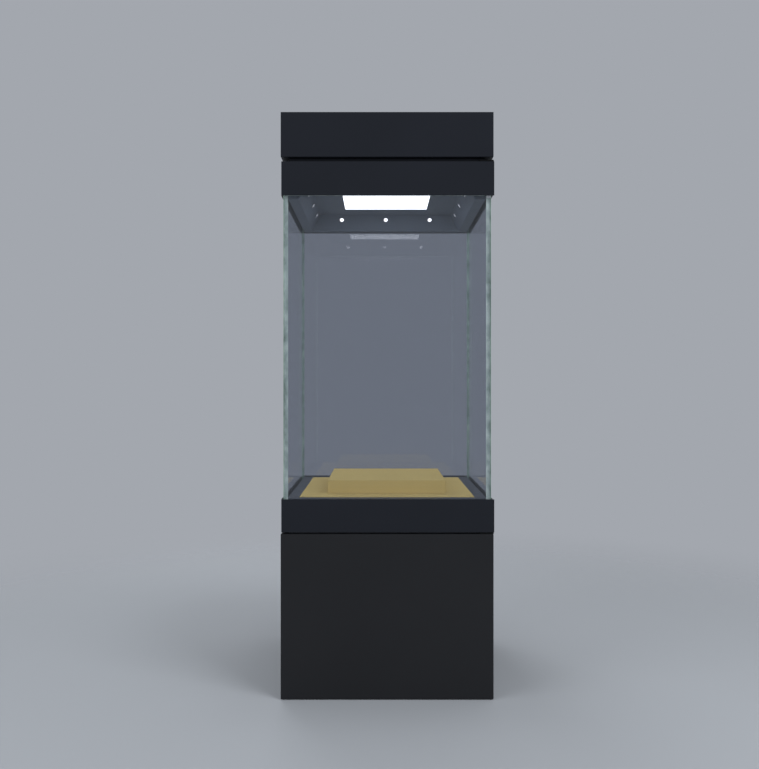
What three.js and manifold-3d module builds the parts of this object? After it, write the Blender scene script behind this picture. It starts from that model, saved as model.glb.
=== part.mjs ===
import * as THREE from "three";
import { mergeVertices } from "three/addons/utils/BufferGeometryUtils.js";
import Module from "manifold-3d";

const wasm = await Module();
wasm.setup();

// A free-standing display case: a plinth, a glass chamber over a cloth-covered board, and a
// canopy with lights. Millimetres, +Z up, door facing -Y. The origin is on the floor under
// the middle of the case.

// Outer form, from the floor up
const caseWidth = 800;
const caseDepth = 800;
const floorGap = 3; // between the floor and the plinth panels
const plinthHeight = 620;
const jointGap = 7; // shadow line between plinth and collar
const collarHeight = 123;
const glassHeight = 1143; // clear glass between collar and fascia
const fasciaHeight = 127;
const grooveHeight = 17;
const grooveDepth = 28;
const hoodHeight = 168;

// Sheet metal and clearances
const sheet = 2;
const fitGap = 0.3; // between pieces that touch
const glassFit = 0.5; // between glass and the metal that lines it
const runGap = 0.3; // round pins and barrels that turn

// Glazing
const glassThickness = 12;
const glassSetback = 8; // from the metal's face to the glass's face
const glassFoot = 55; // how far the fixed panes reach below the deck
const glassHead = 54; // and above the lower edge of the fascia

// Plinth
const panelDepth = 20;
const ringBottom = 25;
const ringHeight = 40;
const ringDepth = 55;
const ringWall = 4;
const postSize = 40;
const postWall = 3;

// Levelling feet
const padRadius = 25;
const padHeight = 8;
const padEdge = 2; // bevel round the pad's top
const studRadius = 6;
const studEngagement = 18; // how far the stud stands inside the base ring
const nutFlats = 19;
const nutHeight = 8;

// Deck
const deckInset = 28; // from the case's faces to the deck base's walls
const deckWall = 5;
const deckPlate = 6;
const deckSkirt = 23; // how far the walls reach down behind the plinth panels
const ledge = 5; // the flange that the glass stands on
const boardMargin = 65; // from the case's faces to the display board
const boardThickness = 17.7;
const boardProud = 2;
const boardEdge = 1.2; // soft edge of the cloth-wrapped board
const riserWidth = 466;
const riserDepth = 466;
const riserHeight = 51;
const riserEdge = 2;
const railHeight = 6.4; // low rail at the foot of the back pane
const railDepth = 6;

// Ceiling and lights
const ceilingBorder = 61; // from the case's faces to the foot of the slopes
const slopeRun = 43;
const slopeRise = 66;
const lightWindowWidth = 360;
const diffuserLap = 10;
const diffuserThickness = 3;
const lightBoxWall = 9.7; // beside the diffuser
const lightBoxHeight = 26;
const lightBoxRoof = 4;
const spotPerSide = 3;
const spotPitch = 202;
const spotRise = 46; // height of a spotlight's centre above the foot of the slope
const spotLensRadius = 8.5;
const spotLensDepth = 0.8;
const spotBarrelRadius = 9.5;
const spotBarrelLength = 28;
const spotTrimRadius = 11.5;
const spotTrimThickness = 1.2;

// Attic: the frame that sits on the glass, the hood and its lid
const frameSheet = 3;
const frameFlange = 55; // from the case's faces to the frame's window
const hoodFlange = 55; // lower flange of the hood
const lidLedge = 40; // from the case's faces to the opening under the lid
const lidRecess = 16; // depth of the ledge below the rim
const lidThickness = 12;
const lidSideGap = 12;
const lidFingerGap = 24; // along the front edge
const lidSeatGap = 0.6;
const lidPinRadius = 2.5;
const lidPinReach = 9;
const lidLugGap = 3;
const lidLugThickness = 6;
const lidLugHalfWidth = 7;
const lidLugTop = 5; // above the pin's axis
const driverLength = 180;
const driverDepth = 60;
const driverHeight = 32;
const driverFlange = 15;
const driverOffset = 60; // behind the middle of the light box
const inletX = 250;
const inletDrop = 103; // below the top of the hood
const inletWidth = 27;
const inletHeight = 19;
const inletDepth = 22;
const inletLip = 2;
const inletWall = 1.8;
const inletSocketDepth = 15;
const leadRadius = 3.5;
const leadBend = 14; // size of a bend, by which the whole route is spaced
const leadStandoff = 17; // from the foot of the rear slope to where the lead falls
const leadSides = 10;
const leadSteps = 76;

// Door: front pane with its collar and fascia
const doorShift = 2.5; // the door hangs this far towards its hinges
const doorGap = 2.5; // behind the door
const doorGlassFoot = 63;
const doorGlassHead = 63;
const doorGlassLeftInset = 9;
const doorGlassRightInset = 11;
const railSkin = 2.5;
const railBlock = 45; // solid ends of the door's rails
const pivotInset = 7;
const pivotRadius = 4;
const pivotReach = 22;
const pivotSink = 2; // spare depth of the pivot hole
const bracketLength = 50;
const bracketThickness = 6;
const bracketGap = 0.5;
const bracketSetback = 1; // from the door's front face to the bracket's edge
const sealWidth = 8;
const sealThickness = 1.8;
const sealInset = 11; // from the case's faces to the seal
const clampWidth = 16;
const clampDrop = 10.5; // how far the corner clamp shows below the fascia
const clampRise = 18;
const clampThickness = 3;
const clampInset = 12.5; // from the door's hinge side

// Locks: a cam in the case's left side turns up in front of a lug on the door
const lockSetback = 27.5; // from the case's front edge to the barrel's axis
const lowerLockRise = 35; // above the collar's lower edge
const upperLockDrop = 35; // below the fascia's upper edge
const barrelRadius = 9.5;
const barrelLength = 7;
const lockRimRadius = 11.5;
const lockRim = 1.2;
const spindleRadius = 5;
const camInset = 12.5; // from the case's side face to the cam
const camThickness = 3;
const camWidth = 10;
const camLength = 20;
const keyWidth = 2;
const keyHeight = 8;
const keyDepth = 1; // of the key slot in the rim
const lugClear = 2; // between the spindle and the lug
const lugHeight = 14;
const lugPlay = 3; // between the locked cam and the lug
const lugThickness = 4;
const lugArm = 3;
const lugInset = 10.5; // from the case's side face to the lug's outer edge
const lugWidth = 11;
const lugSlotGap = 2.5; // round the lug where it enters the frame

// Levels and planes that several pieces share
const halfWidth = caseWidth / 2;
const halfDepth = caseDepth / 2;
const plinthTop = floorGap + plinthHeight;
const collarBottom = plinthTop + jointGap;
const deckLevel = collarBottom + collarHeight;
const fasciaBottom = deckLevel + glassHeight;
const fasciaTop = fasciaBottom + fasciaHeight;
const hoodBottom = fasciaTop + grooveHeight;
const hoodTop = hoodBottom + hoodHeight;
const doorDepth = glassSetback + glassThickness;
const doorBack = -halfDepth + doorDepth;
const bodyFront = doorBack + doorGap; // front edge of everything that stays behind the door
const innerFront = bodyFront + sheet + fitGap; // behind the folded front edges of the side bands
const glassOuterX = halfWidth - glassSetback;
const glassInnerX = glassOuterX - glassThickness;
const glassOuterY = halfDepth - glassSetback;
const glassInnerY = glassOuterY - glassThickness;
const linerX = glassInnerX - glassFit; // edge of the metal inside the glass
const linerY = glassInnerY - glassFit;
const skinX = halfWidth - sheet - fitGap; // edge of the metal inside the outer skins
const skinY = halfDepth - sheet - fitGap;
const ledgeTop = deckLevel - glassFoot;
const glassTop = fasciaBottom + glassHead;
const boardTop = deckLevel + boardProud;
const plateTop = boardTop - boardThickness - fitGap;
const wallX = halfWidth - deckInset;
const wallY = halfDepth - deckInset;
const ringTop = ringBottom + ringHeight;
const slopeFootX = halfWidth - ceilingBorder;
const slopeFootY = halfDepth - ceilingBorder;
const ceilingTop = fasciaBottom + slopeRise;
const lightLevel = ceilingTop + sheet + fitGap; // underside of what lies on the ceiling
const diffuserHalf = lightWindowWidth / 2 + diffuserLap;
const lightBoxHalf = diffuserHalf + fitGap + lightBoxWall;
const frameBottom = glassTop + fitGap;
const frameTop = fasciaTop - sheet - fitGap;
const neckX = halfWidth - grooveDepth;
const neckY = halfDepth - grooveDepth;
const pivotX = halfWidth + doorShift - pivotInset;
const pivotY = -halfDepth + pivotInset;
const lockY = bodyFront + lockSetback;
const lowerLockZ = collarBottom + lowerLockRise;
const upperLockZ = fasciaTop - upperLockDrop;

const paint = {
  plinth: new THREE.MeshStandardMaterial({ color: 0x26272b, roughness: 0.45, metalness: 0.2 }),
  canopy: new THREE.MeshStandardMaterial({ color: 0x22252b, roughness: 0.45, metalness: 0.2 }),
  deck: new THREE.MeshStandardMaterial({ color: 0x434850, roughness: 0.5, metalness: 0.2 }),
  ceiling: new THREE.MeshStandardMaterial({ color: 0x454c56, roughness: 0.6, metalness: 0.1 }),
  frame: new THREE.MeshStandardMaterial({ color: 0x2b2d30, roughness: 0.6, metalness: 0.3 }),
};
const glass = new THREE.MeshStandardMaterial({
  color: 0x76887f,
  roughness: 0.05,
  transparent: true,
  opacity: 0.25,
});
const cloth = new THREE.MeshStandardMaterial({ color: 0x968a67, roughness: 0.95 });
const opal = new THREE.MeshStandardMaterial({ color: 0xffffff, roughness: 0.4 });
const steel = new THREE.MeshStandardMaterial({ color: 0xb9bcbf, roughness: 0.3, metalness: 0.9 });
const zinc = new THREE.MeshStandardMaterial({ color: 0x8d9296, roughness: 0.5, metalness: 0.8 });
const clearSeal = new THREE.MeshStandardMaterial({ color: 0xb7c2bf, roughness: 0.6 });
const blackPlastic = new THREE.MeshStandardMaterial({ color: 0x17181a, roughness: 0.6 });
const whitePlastic = new THREE.MeshStandardMaterial({ color: 0xd8d8d4, roughness: 0.5 });

// Closed geometry as a solid for cuts and joins.
function solidOf(geometry) {
  const bare = geometry.clone();
  bare.deleteAttribute("normal");
  bare.deleteAttribute("uv");
  const merged = mergeVertices(bare);
  return new wasm.Manifold(
    new wasm.Mesh({
      numProp: 3,
      vertProperties: merged.attributes.position.array,
      triVerts: new Uint32Array(merged.index.array),
    }),
  );
}

function geometryOf(solid) {
  const mesh = solid.getMesh();
  const geometry = new THREE.BufferGeometry();
  geometry.setAttribute("position", new THREE.BufferAttribute(mesh.vertProperties, 3));
  geometry.setIndex(new THREE.BufferAttribute(mesh.triVerts, 1));
  geometry.computeVertexNormals();
  return geometry;
}

// A box between two opposite corners.
function block(cornerA, cornerB) {
  const low = new THREE.Vector3(...cornerA).min(new THREE.Vector3(...cornerB));
  const high = new THREE.Vector3(...cornerA).max(new THREE.Vector3(...cornerB));
  const size = high.clone().sub(low);
  const middle = high.clone().add(low).multiplyScalar(0.5);
  return solidOf(new THREE.BoxGeometry(size.x, size.y, size.z).translate(...middle));
}

// A box that is as wide on both sides of x = 0 and runs from y0 to y1 and z0 to z1.
function slab(halfX, y0, y1, z0, z1) {
  return block([-halfX, y0, z0], [halfX, y1, z1]);
}

// A round bar of one radius from one point to another.
function bar(radius, from, to, sides = 24) {
  const start = new THREE.Vector3(...from);
  const run = new THREE.Vector3(...to).sub(start);
  const geometry = new THREE.CylinderGeometry(radius, radius, run.length(), sides);
  geometry.translate(0, run.length() / 2, 0);
  const up = new THREE.Vector3(0, 1, 0);
  geometry.applyQuaternion(new THREE.Quaternion().setFromUnitVectors(up, run.normalize()));
  return solidOf(geometry.translate(...start));
}

function join(...solids) {
  return solids.reduce((whole, next) => whole.add(next));
}

function cut(whole, ...tools) {
  return tools.reduce((left, tool) => left.subtract(tool), whole);
}

// A flat outline in plan, raised from z0 to z1.
function plate(points, z0, z1) {
  const outline = new THREE.Shape(points.map(([x, y]) => new THREE.Vector2(x, y)));
  const raised = new THREE.ExtrudeGeometry(outline, { depth: z1 - z0, bevelEnabled: false });
  return solidOf(raised.translate(0, 0, z0));
}

// A block with a small bevel all round, as cloth or a folded edge gives it.
function softBlock(width, depth, height, edge) {
  const x = width / 2 - edge;
  const y = depth / 2 - edge;
  const outline = new THREE.Shape([
    new THREE.Vector2(-x, -y),
    new THREE.Vector2(x, -y),
    new THREE.Vector2(x, y),
    new THREE.Vector2(-x, y),
  ]);
  return new THREE.ExtrudeGeometry(outline, {
    depth: height - 2 * edge,
    bevelThickness: edge,
    bevelSize: edge,
    bevelSegments: 2,
  }).translate(0, 0, edge);
}

function addPiece(group, name, shape, material) {
  const geometry = shape.isBufferGeometry ? shape : geometryOf(shape);
  const mesh = new THREE.Mesh(geometry, material);
  mesh.name = name;
  group.add(mesh);
  return mesh;
}

const corners = [
  ["front_left", -1, -1],
  ["front_right", 1, -1],
  ["rear_left", -1, 1],
  ["rear_right", 1, 1],
];
const sides = [
  ["left", -1],
  ["right", 1],
];

// Plinth: base ring on four feet, posts, and a folded panel on each face.

const ringOuterX = halfWidth - panelDepth - fitGap;
const ringOuterY = halfDepth - panelDepth - fitGap;
const footX = ringOuterX - ringDepth / 2;
const footY = ringOuterY - ringDepth / 2;
const postX = wallX - deckWall - fitGap - postSize / 2;
const postY = wallY - deckWall - fitGap - postSize / 2;

// A channel section, open towards the middle, with a hole for each foot's stud.
function baseRing() {
  const reach = ringDepth - ringWall;
  const windowX = ringOuterX - ringDepth;
  const windowY = ringOuterY - ringDepth;
  const outer = slab(ringOuterX, -ringOuterY, ringOuterY, ringBottom, ringTop);
  const window = slab(windowX, -windowY, windowY, ringBottom - 1, ringTop + 1);
  const channelX = windowX + reach;
  const channelY = windowY + reach;
  const channel = slab(
    channelX,
    -channelY,
    channelY,
    ringBottom + ringWall,
    ringTop - ringWall,
  );
  const holes = corners.map(([, sx, sy]) =>
    bar(
      studRadius + runGap,
      [sx * footX, sy * footY, ringBottom - 1],
      [sx * footX, sy * footY, ringBottom + ringWall + 1],
    ),
  );
  return cut(outer, window, channel, ...holes);
}

// Pad, stud and lock nut. The nut bears on the base ring from below.
function levellingFoot() {
  const studTop = ringBottom + studEngagement;
  const profile = [
    [0, 0],
    [padRadius, 0],
    [padRadius, padHeight - padEdge],
    [padRadius - padEdge, padHeight],
    [studRadius, padHeight],
    [studRadius, studTop],
    [0, studTop],
  ].map(([r, h]) => new THREE.Vector2(r, h));
  const turned = solidOf(new THREE.LatheGeometry(profile, 24).rotateX(Math.PI / 2));
  const nutTop = ringBottom - fitGap;
  const nutRadius = nutFlats / Math.sqrt(3);
  return join(turned, bar(nutRadius, [0, 0, nutTop - nutHeight], [0, 0, nutTop], 6));
}

function cornerPost() {
  const half = postSize / 2;
  const bore = half - postWall;
  const height = plateTop - deckPlate - fitGap - (ringTop + fitGap);
  return cut(slab(half, -half, half, 0, height), slab(bore, -bore, bore, -1, height + 1));
}

// A folded tray, its face at y = 0 and its open back towards +Y.
function plinthPanel(width) {
  const half = width / 2;
  const tray = slab(half, 0, panelDepth, 0, plinthHeight);
  const hollow = slab(half - sheet, sheet, panelDepth + 1, sheet, plinthHeight - sheet);
  return cut(tray, hollow);
}

function makePlinth() {
  const plinth = new THREE.Group();
  addPiece(plinth, "base_ring", baseRing(), paint.frame);
  const foot = levellingFoot();
  const post = cornerPost();
  for (const [place, sx, sy] of corners) {
    addPiece(plinth, "levelling_foot_" + place, foot, zinc).position.set(
      sx * footX,
      sy * footY,
      0,
    );
    addPiece(plinth, "corner_post_" + place, post, paint.frame).position.set(
      sx * postX,
      sy * postY,
      ringTop + fitGap,
    );
  }
  const sideLength = caseDepth - 2 * (panelDepth + fitGap);
  const faces = [
    ["front", caseWidth, 0, [0, -halfDepth]],
    ["back", caseWidth, Math.PI, [0, halfDepth]],
    ["left", sideLength, -Math.PI / 2, [-halfWidth, 0]],
    ["right", sideLength, Math.PI / 2, [halfWidth, 0]],
  ];
  for (const [place, width, turn, [x, y]] of faces) {
    const panel = addPiece(plinth, "plinth_panel_" + place, plinthPanel(width), paint.plinth);
    panel.position.set(x, y, floorGap);
    panel.rotation.z = turn;
  }
  return plinth;
}

// Bands of folded sheet round the foot and the head of the glass. Each has a lower and an
// upper fold that reach inwards, and the side ones close their front end with a third.

const glassFold = glassSetback - fitGap; // a fold that stops short of the glass

function sideBand(side, bottom, top, lowerFold, upperFold, lockLevel) {
  const face = side * halfWidth;
  const inner = face - side * sheet;
  const blank = block([face, bodyFront, bottom], [inner, halfDepth, top]);
  const skin = side < 0 ? cut(blank, barrelHole(lockLevel)) : blank;
  const lower = block(
    [inner, bodyFront, bottom],
    [face - side * lowerFold, skinY, bottom + sheet],
  );
  const upper = block(
    [inner, bodyFront, top - sheet],
    [face - side * upperFold, skinY, top],
  );
  const front = block(
    [inner, bodyFront, bottom + sheet],
    [face - side * glassFold, bodyFront + sheet, top - sheet],
  );
  return join(skin, lower, upper, front);
}

function backBand(bottom, top, lowerFold, upperFold) {
  const inner = halfDepth - sheet;
  const skin = slab(skinX, inner, halfDepth, bottom, top);
  const lowerX = halfWidth - lowerFold - fitGap;
  const upperX = halfWidth - upperFold - fitGap;
  const lower = slab(lowerX, halfDepth - lowerFold, inner, bottom, bottom + sheet);
  const upper = slab(upperX, halfDepth - upperFold, inner, top - sheet, top);
  return join(skin, lower, upper);
}

// Hole for a lock's barrel through the case's left side.
function barrelHole(level) {
  return bar(barrelRadius + runGap, [-halfWidth - 1, lockY, level], [-wallX, lockY, level]);
}

function makeBands() {
  const bands = new THREE.Group();
  const collarFold = deckInset - fitGap;
  const fasciaFold = grooveDepth - fitGap;
  for (const [place, side] of sides) {
    const collar = sideBand(
      side,
      collarBottom,
      deckLevel,
      collarFold,
      glassFold,
      lowerLockZ,
    );
    addPiece(bands, "collar_" + place, collar, paint.canopy);
    const fascia = sideBand(
      side,
      fasciaBottom,
      fasciaTop,
      glassFold,
      fasciaFold,
      upperLockZ,
    );
    addPiece(bands, "fascia_" + place, fascia, paint.canopy);
  }
  const backCollar = backBand(collarBottom, deckLevel, collarFold, glassFold);
  addPiece(bands, "collar_back", backCollar, paint.canopy);
  const backFascia = backBand(fasciaBottom, fasciaTop, glassFold, fasciaFold);
  addPiece(bands, "fascia_back", backFascia, paint.canopy);
  return bands;
}

// Deck: a deep inverted tray on the posts, with a flange for the glass, a mitred margin, the
// display board and its riser, and a low rail at the foot of the back pane.

function deckBase() {
  const bottom = plinthTop - deckSkirt;
  const walls = slab(wallX, -wallY, wallY, bottom, plateTop);
  const innerX = wallX - deckWall;
  const innerY = wallY - deckWall;
  const hollow = slab(innerX, -innerY, innerY, bottom - 1, plateTop - deckPlate);
  const flange = slab(skinX, innerFront, skinY, ledgeTop - ledge, ledgeTop);
  return cut(join(walls, flange), hollow);
}

// Mitred strips between the glass and the board, one for each side of the case.
function deckMargins() {
  const mitre = fitGap;
  const innerX = halfWidth - boardMargin + fitGap;
  const innerY = halfDepth - boardMargin + fitGap;
  const outline = {
    front: [
      [-linerX + mitre, bodyFront],
      [linerX - mitre, bodyFront],
      [innerX - mitre, -innerY],
      [-innerX + mitre, -innerY],
    ],
    back: [
      [-innerX + mitre, innerY],
      [innerX - mitre, innerY],
      [linerX - mitre, linerY],
      [-linerX + mitre, linerY],
    ],
    left: [
      [-linerX, bodyFront + mitre],
      [-innerX, -innerY + mitre],
      [-innerX, innerY - mitre],
      [-linerX, linerY - mitre],
    ],
    right: [
      [linerX, linerY - mitre],
      [innerX, innerY - mitre],
      [innerX, -innerY + mitre],
      [linerX, bodyFront + mitre],
    ],
  };
  return Object.entries(outline).map(([place, points]) => [
    place,
    plate(points, plateTop + fitGap, deckLevel),
  ]);
}

function makeDeck() {
  const deck = new THREE.Group();
  addPiece(deck, "deck_base", deckBase(), paint.deck);
  for (const [place, strip] of deckMargins())
    addPiece(deck, "deck_margin_" + place, strip, paint.deck);
  const rail = slab(
    linerX,
    linerY - railDepth,
    linerY,
    deckLevel + fitGap,
    deckLevel + railHeight,
  );
  addPiece(deck, "rear_glass_rail", rail, paint.deck);
  const boardWidth = caseWidth - 2 * boardMargin;
  const boardDepth = caseDepth - 2 * boardMargin;
  const board = softBlock(boardWidth, boardDepth, boardThickness, boardEdge);
  addPiece(deck, "display_board", board, cloth).position.z = boardTop - boardThickness;
  const riser = softBlock(riserWidth, riserDepth, riserHeight - fitGap, riserEdge);
  addPiece(deck, "riser_block", riser, cloth).position.z = boardTop + fitGap;
  return deck;
}

// Fixed glazing: the side panes butt against the back one.
function makeGlazing() {
  const glazing = new THREE.Group();
  const bottom = ledgeTop + fitGap;
  const back = slab(glassOuterX, glassInnerY, glassOuterY, bottom, glassTop);
  addPiece(glazing, "glass_back", back, glass);
  for (const [place, side] of sides) {
    const pane = block(
      [side * glassOuterX, bodyFront, bottom],
      [side * glassInnerX, glassInnerY - fitGap, glassTop],
    );
    addPiece(glazing, "glass_" + place, pane, glass);
  }
  return glazing;
}

// Ceiling and lights

// A block whose top is smaller or larger than its foot.
function taperedBlock(footX, footY, z0, topX, topY, z1) {
  const geometry = new THREE.BoxGeometry(2, 2, 2);
  const position = geometry.attributes.position;
  for (let i = 0; i < position.count; i++) {
    const top = position.getZ(i) > 0;
    position.setX(i, position.getX(i) * (top ? topX : footX));
    position.setY(i, position.getY(i) * (top ? topY : footY));
    position.setZ(i, top ? z1 : z0);
  }
  return solidOf(geometry);
}

const slopeTilt = Math.atan2(slopeRise, slopeRun); // from the horizontal

// Where each spotlight sits: a group for each slope, turned so that the slope is at +Y, and
// in it a place along the slope.
function spotPlaces() {
  const slopes = [
    ["rear", 0, slopeFootY],
    ["left", Math.PI / 2, slopeFootX],
    ["front", Math.PI, slopeFootY],
    ["right", -Math.PI / 2, slopeFootX],
  ];
  const places = [];
  for (const [slope, turn, foot] of slopes)
    for (let i = 0; i < spotPerSide; i++) {
      const along = (i - (spotPerSide - 1) / 2) * spotPitch;
      const out = foot - (slopeRun * spotRise) / slopeRise;
      const holder = new THREE.Group();
      holder.rotation.z = turn;
      const seat = new THREE.Group();
      seat.position.set(along, out, fasciaBottom + spotRise);
      seat.rotation.x = Math.PI / 2 + (Math.PI / 2 - slopeTilt);
      holder.add(seat);
      places.push({ name: "spotlight_" + slope + "_" + (i + 1), holder, seat });
    }
  return places;
}

// A lit lens in a thin trim ring, its barrel passing up through the ceiling. The seat plane
// is z = 0 and the light leaves towards +Z.
function spotlight() {
  const face = fitGap + spotTrimThickness;
  const profile = [
    [0, -spotBarrelLength],
    [spotBarrelRadius, -spotBarrelLength],
    [spotBarrelRadius, fitGap],
    [spotTrimRadius, fitGap],
    [spotTrimRadius, face - spotTrimThickness / 2],
    [spotTrimRadius - spotTrimThickness / 2, face],
    [spotLensRadius, face],
    [spotLensRadius, face - spotLensDepth],
    [0, face - spotLensDepth],
  ].map(([r, h]) => new THREE.Vector2(r, h));
  return new THREE.LatheGeometry(profile, 24).rotateX(Math.PI / 2);
}

// A folded tray over the chamber: flat border, four slopes, flat centre with a square window,
// and a skirt up to the attic frame.
function ceilingCoffer(places) {
  const rake = slopeRun / slopeRise;
  const spread = sheet / Math.sin(slopeTilt);
  const inner = taperedBlock(
    slopeFootX + rake,
    slopeFootY + rake,
    fasciaBottom - 1,
    slopeFootX - slopeRun,
    slopeFootY - slopeRun,
    ceilingTop,
  );
  const outer = taperedBlock(
    slopeFootX + spread,
    slopeFootY + spread,
    fasciaBottom,
    slopeFootX + spread - rake * (slopeRise + sheet),
    slopeFootY + spread - rake * (slopeRise + sheet),
    ceilingTop + sheet,
  );
  const skirt = cut(
    slab(linerX, bodyFront, linerY, fasciaBottom, glassTop),
    slab(
      linerX - sheet,
      bodyFront + sheet,
      linerY - sheet,
      fasciaBottom + sheet,
      glassTop + 1,
    ),
  );
  const half = lightWindowWidth / 2;
  const window = slab(half, -half, half, ceilingTop - 1, ceilingTop + sheet + 1);
  const holes = places.map(({ holder, seat }) => {
    holder.updateMatrixWorld(true);
    const depth = 3 * sheet;
    const hole = new THREE.CylinderGeometry(
      spotBarrelRadius + runGap,
      spotBarrelRadius + runGap,
      2 * depth,
      24,
    );
    return solidOf(hole.rotateX(Math.PI / 2).applyMatrix4(seat.matrixWorld));
  });
  return cut(join(skirt, outer), inner, window, ...holes);
}

function makeLights() {
  const lights = new THREE.Group();
  const places = spotPlaces();
  addPiece(lights, "ceiling_coffer", ceilingCoffer(places), paint.ceiling);
  const diffuser = slab(
    diffuserHalf,
    -diffuserHalf,
    diffuserHalf,
    lightLevel,
    lightLevel + diffuserThickness,
  );
  addPiece(lights, "light_diffuser", diffuser, opal);
  const pocket = diffuserHalf + fitGap;
  const lightBox = cut(
    slab(
      lightBoxHalf,
      -lightBoxHalf,
      lightBoxHalf,
      lightLevel,
      lightLevel + lightBoxHeight,
    ),
    slab(pocket, -pocket, pocket, lightLevel - 1, lightLevel + lightBoxHeight - lightBoxRoof),
  );
  addPiece(lights, "light_box", lightBox, whitePlastic);
  for (const { name, holder, seat } of places) {
    addPiece(seat, name, spotlight(), steel);
    lights.add(holder);
  }
  return lights;
}

// Attic

// Folded ring on the glass: a wide channel behind the fascias and a narrower neck over it.
// It has a hole for the upper lock's barrel and a slot for the lug on the door.
function atticFrame() {
  const windowX = halfWidth - frameFlange;
  const windowY = halfDepth - frameFlange;
  const top = hoodBottom - fitGap;
  const body = join(
    slab(skinX, innerFront, skinY, frameBottom, frameTop),
    slab(neckX, -neckY, neckY, frameTop - frameSheet, top),
  );
  const channel = slab(
    skinX - frameSheet,
    innerFront + frameSheet,
    skinY - frameSheet,
    frameBottom + frameSheet,
    frameTop - frameSheet,
  );
  const throat = slab(
    neckX - frameSheet,
    -neckY + frameSheet,
    neckY - frameSheet,
    frameTop - 2 * frameSheet,
    top - frameSheet,
  );
  const window = slab(windowX, -windowY, windowY, frameBottom - 1, top + 1);
  return cut(body, channel, throat, window, barrelHole(upperLockZ), lugSlot(upperLockZ));
}

function lidPinY() {
  return halfDepth - sheet - lidSideGap - lidPinRadius;
}

function lidTop() {
  return hoodTop - lidRecess + lidSeatGap + lidThickness;
}

function lidPinZ() {
  return lidTop() - lidPinRadius;
}

// Open box with a flange below, a ledge for the lid and a lug for each of the lid's pins.
function hoodShell() {
  const ledgeZ = hoodTop - lidRecess;
  const innerX = halfWidth - sheet;
  const innerY = halfDepth - sheet;
  const throatX = halfWidth - hoodFlange;
  const throatY = halfDepth - hoodFlange;
  const mouthX = halfWidth - lidLedge;
  const mouthY = halfDepth - lidLedge;
  const inletZ = hoodTop - inletDrop;
  const shell = cut(
    slab(halfWidth, -halfDepth, halfDepth, hoodBottom, hoodTop),
    slab(innerX, -innerY, innerY, hoodBottom + sheet, ledgeZ - sheet),
    slab(innerX, -innerY, innerY, ledgeZ, hoodTop + 1),
    slab(throatX, -throatY, throatY, hoodBottom - 1, hoodBottom + sheet + 1),
    slab(mouthX, -mouthY, mouthY, ledgeZ - sheet - 1, ledgeZ + 1),
    block(
      [inletX - inletWidth / 2 - fitGap, innerY - 1, inletZ - inletHeight / 2 - fitGap],
      [inletX + inletWidth / 2 + fitGap, halfDepth + 1, inletZ + inletHeight / 2 + fitGap],
    ),
  );
  const lugs = sides.map(([, side]) => {
    const near = side * (innerX - lidSideGap + lidLugGap);
    const far = near + side * lidLugThickness;
    return cut(
      block(
        [near, lidPinY() - lidLugHalfWidth, ledgeZ - sheet],
        [far, lidPinY() + lidLugHalfWidth, lidPinZ() + lidLugTop],
      ),
      bar(
        lidPinRadius + runGap,
        [near - side, lidPinY(), lidPinZ()],
        [far + side, lidPinY(), lidPinZ()],
      ),
    );
  });
  return join(shell, ...lugs);
}

// A folded lid with a pin at each end of its rear edge.
function atticLid() {
  const x = halfWidth - sheet - lidSideGap;
  const front = -halfDepth + sheet + lidFingerGap;
  const rear = lidPinY() + lidPinRadius;
  const top = lidTop();
  const tray = cut(
    slab(x, front, rear, top - lidThickness, top),
    slab(x - sheet, front + sheet, rear - sheet, top - lidThickness - 1, top - sheet),
  );
  const pins = sides.map(([, side]) =>
    bar(
      lidPinRadius,
      [side * (x - lidPinReach), lidPinY(), lidPinZ()],
      [side * (x + lidPinReach - runGap), lidPinY(), lidPinZ()],
    ),
  );
  return join(tray, ...pins);
}

function ledDriver(level) {
  const half = driverLength / 2;
  const y0 = driverOffset - driverDepth / 2;
  const y1 = driverOffset + driverDepth / 2;
  return join(
    slab(half, y0, y1, level, level + driverHeight),
    slab(half + driverFlange, y0, y1, level, level + sheet),
  );
}

// Panel inlet: a lip outside the hood's back, a body through it and a socket in the body.
function powerInlet() {
  const level = hoodTop - inletDrop;
  const x = inletWidth / 2;
  const z = inletHeight / 2;
  const seat = halfDepth + fitGap;
  const face = seat + inletLip;
  return cut(
    join(
      block([inletX - x, seat - inletDepth, level - z], [inletX + x, seat + 1, level + z]),
      block(
        [inletX - x - inletLip, seat, level - z - inletLip],
        [inletX + x + inletLip, face, level + z + inletLip],
      ),
    ),
    block(
      [inletX - x + inletWall, face - inletSocketDepth, level - z + inletWall],
      [inletX + x - inletWall, face + 1, level + z - inletWall],
    ),
  );
}

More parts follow.
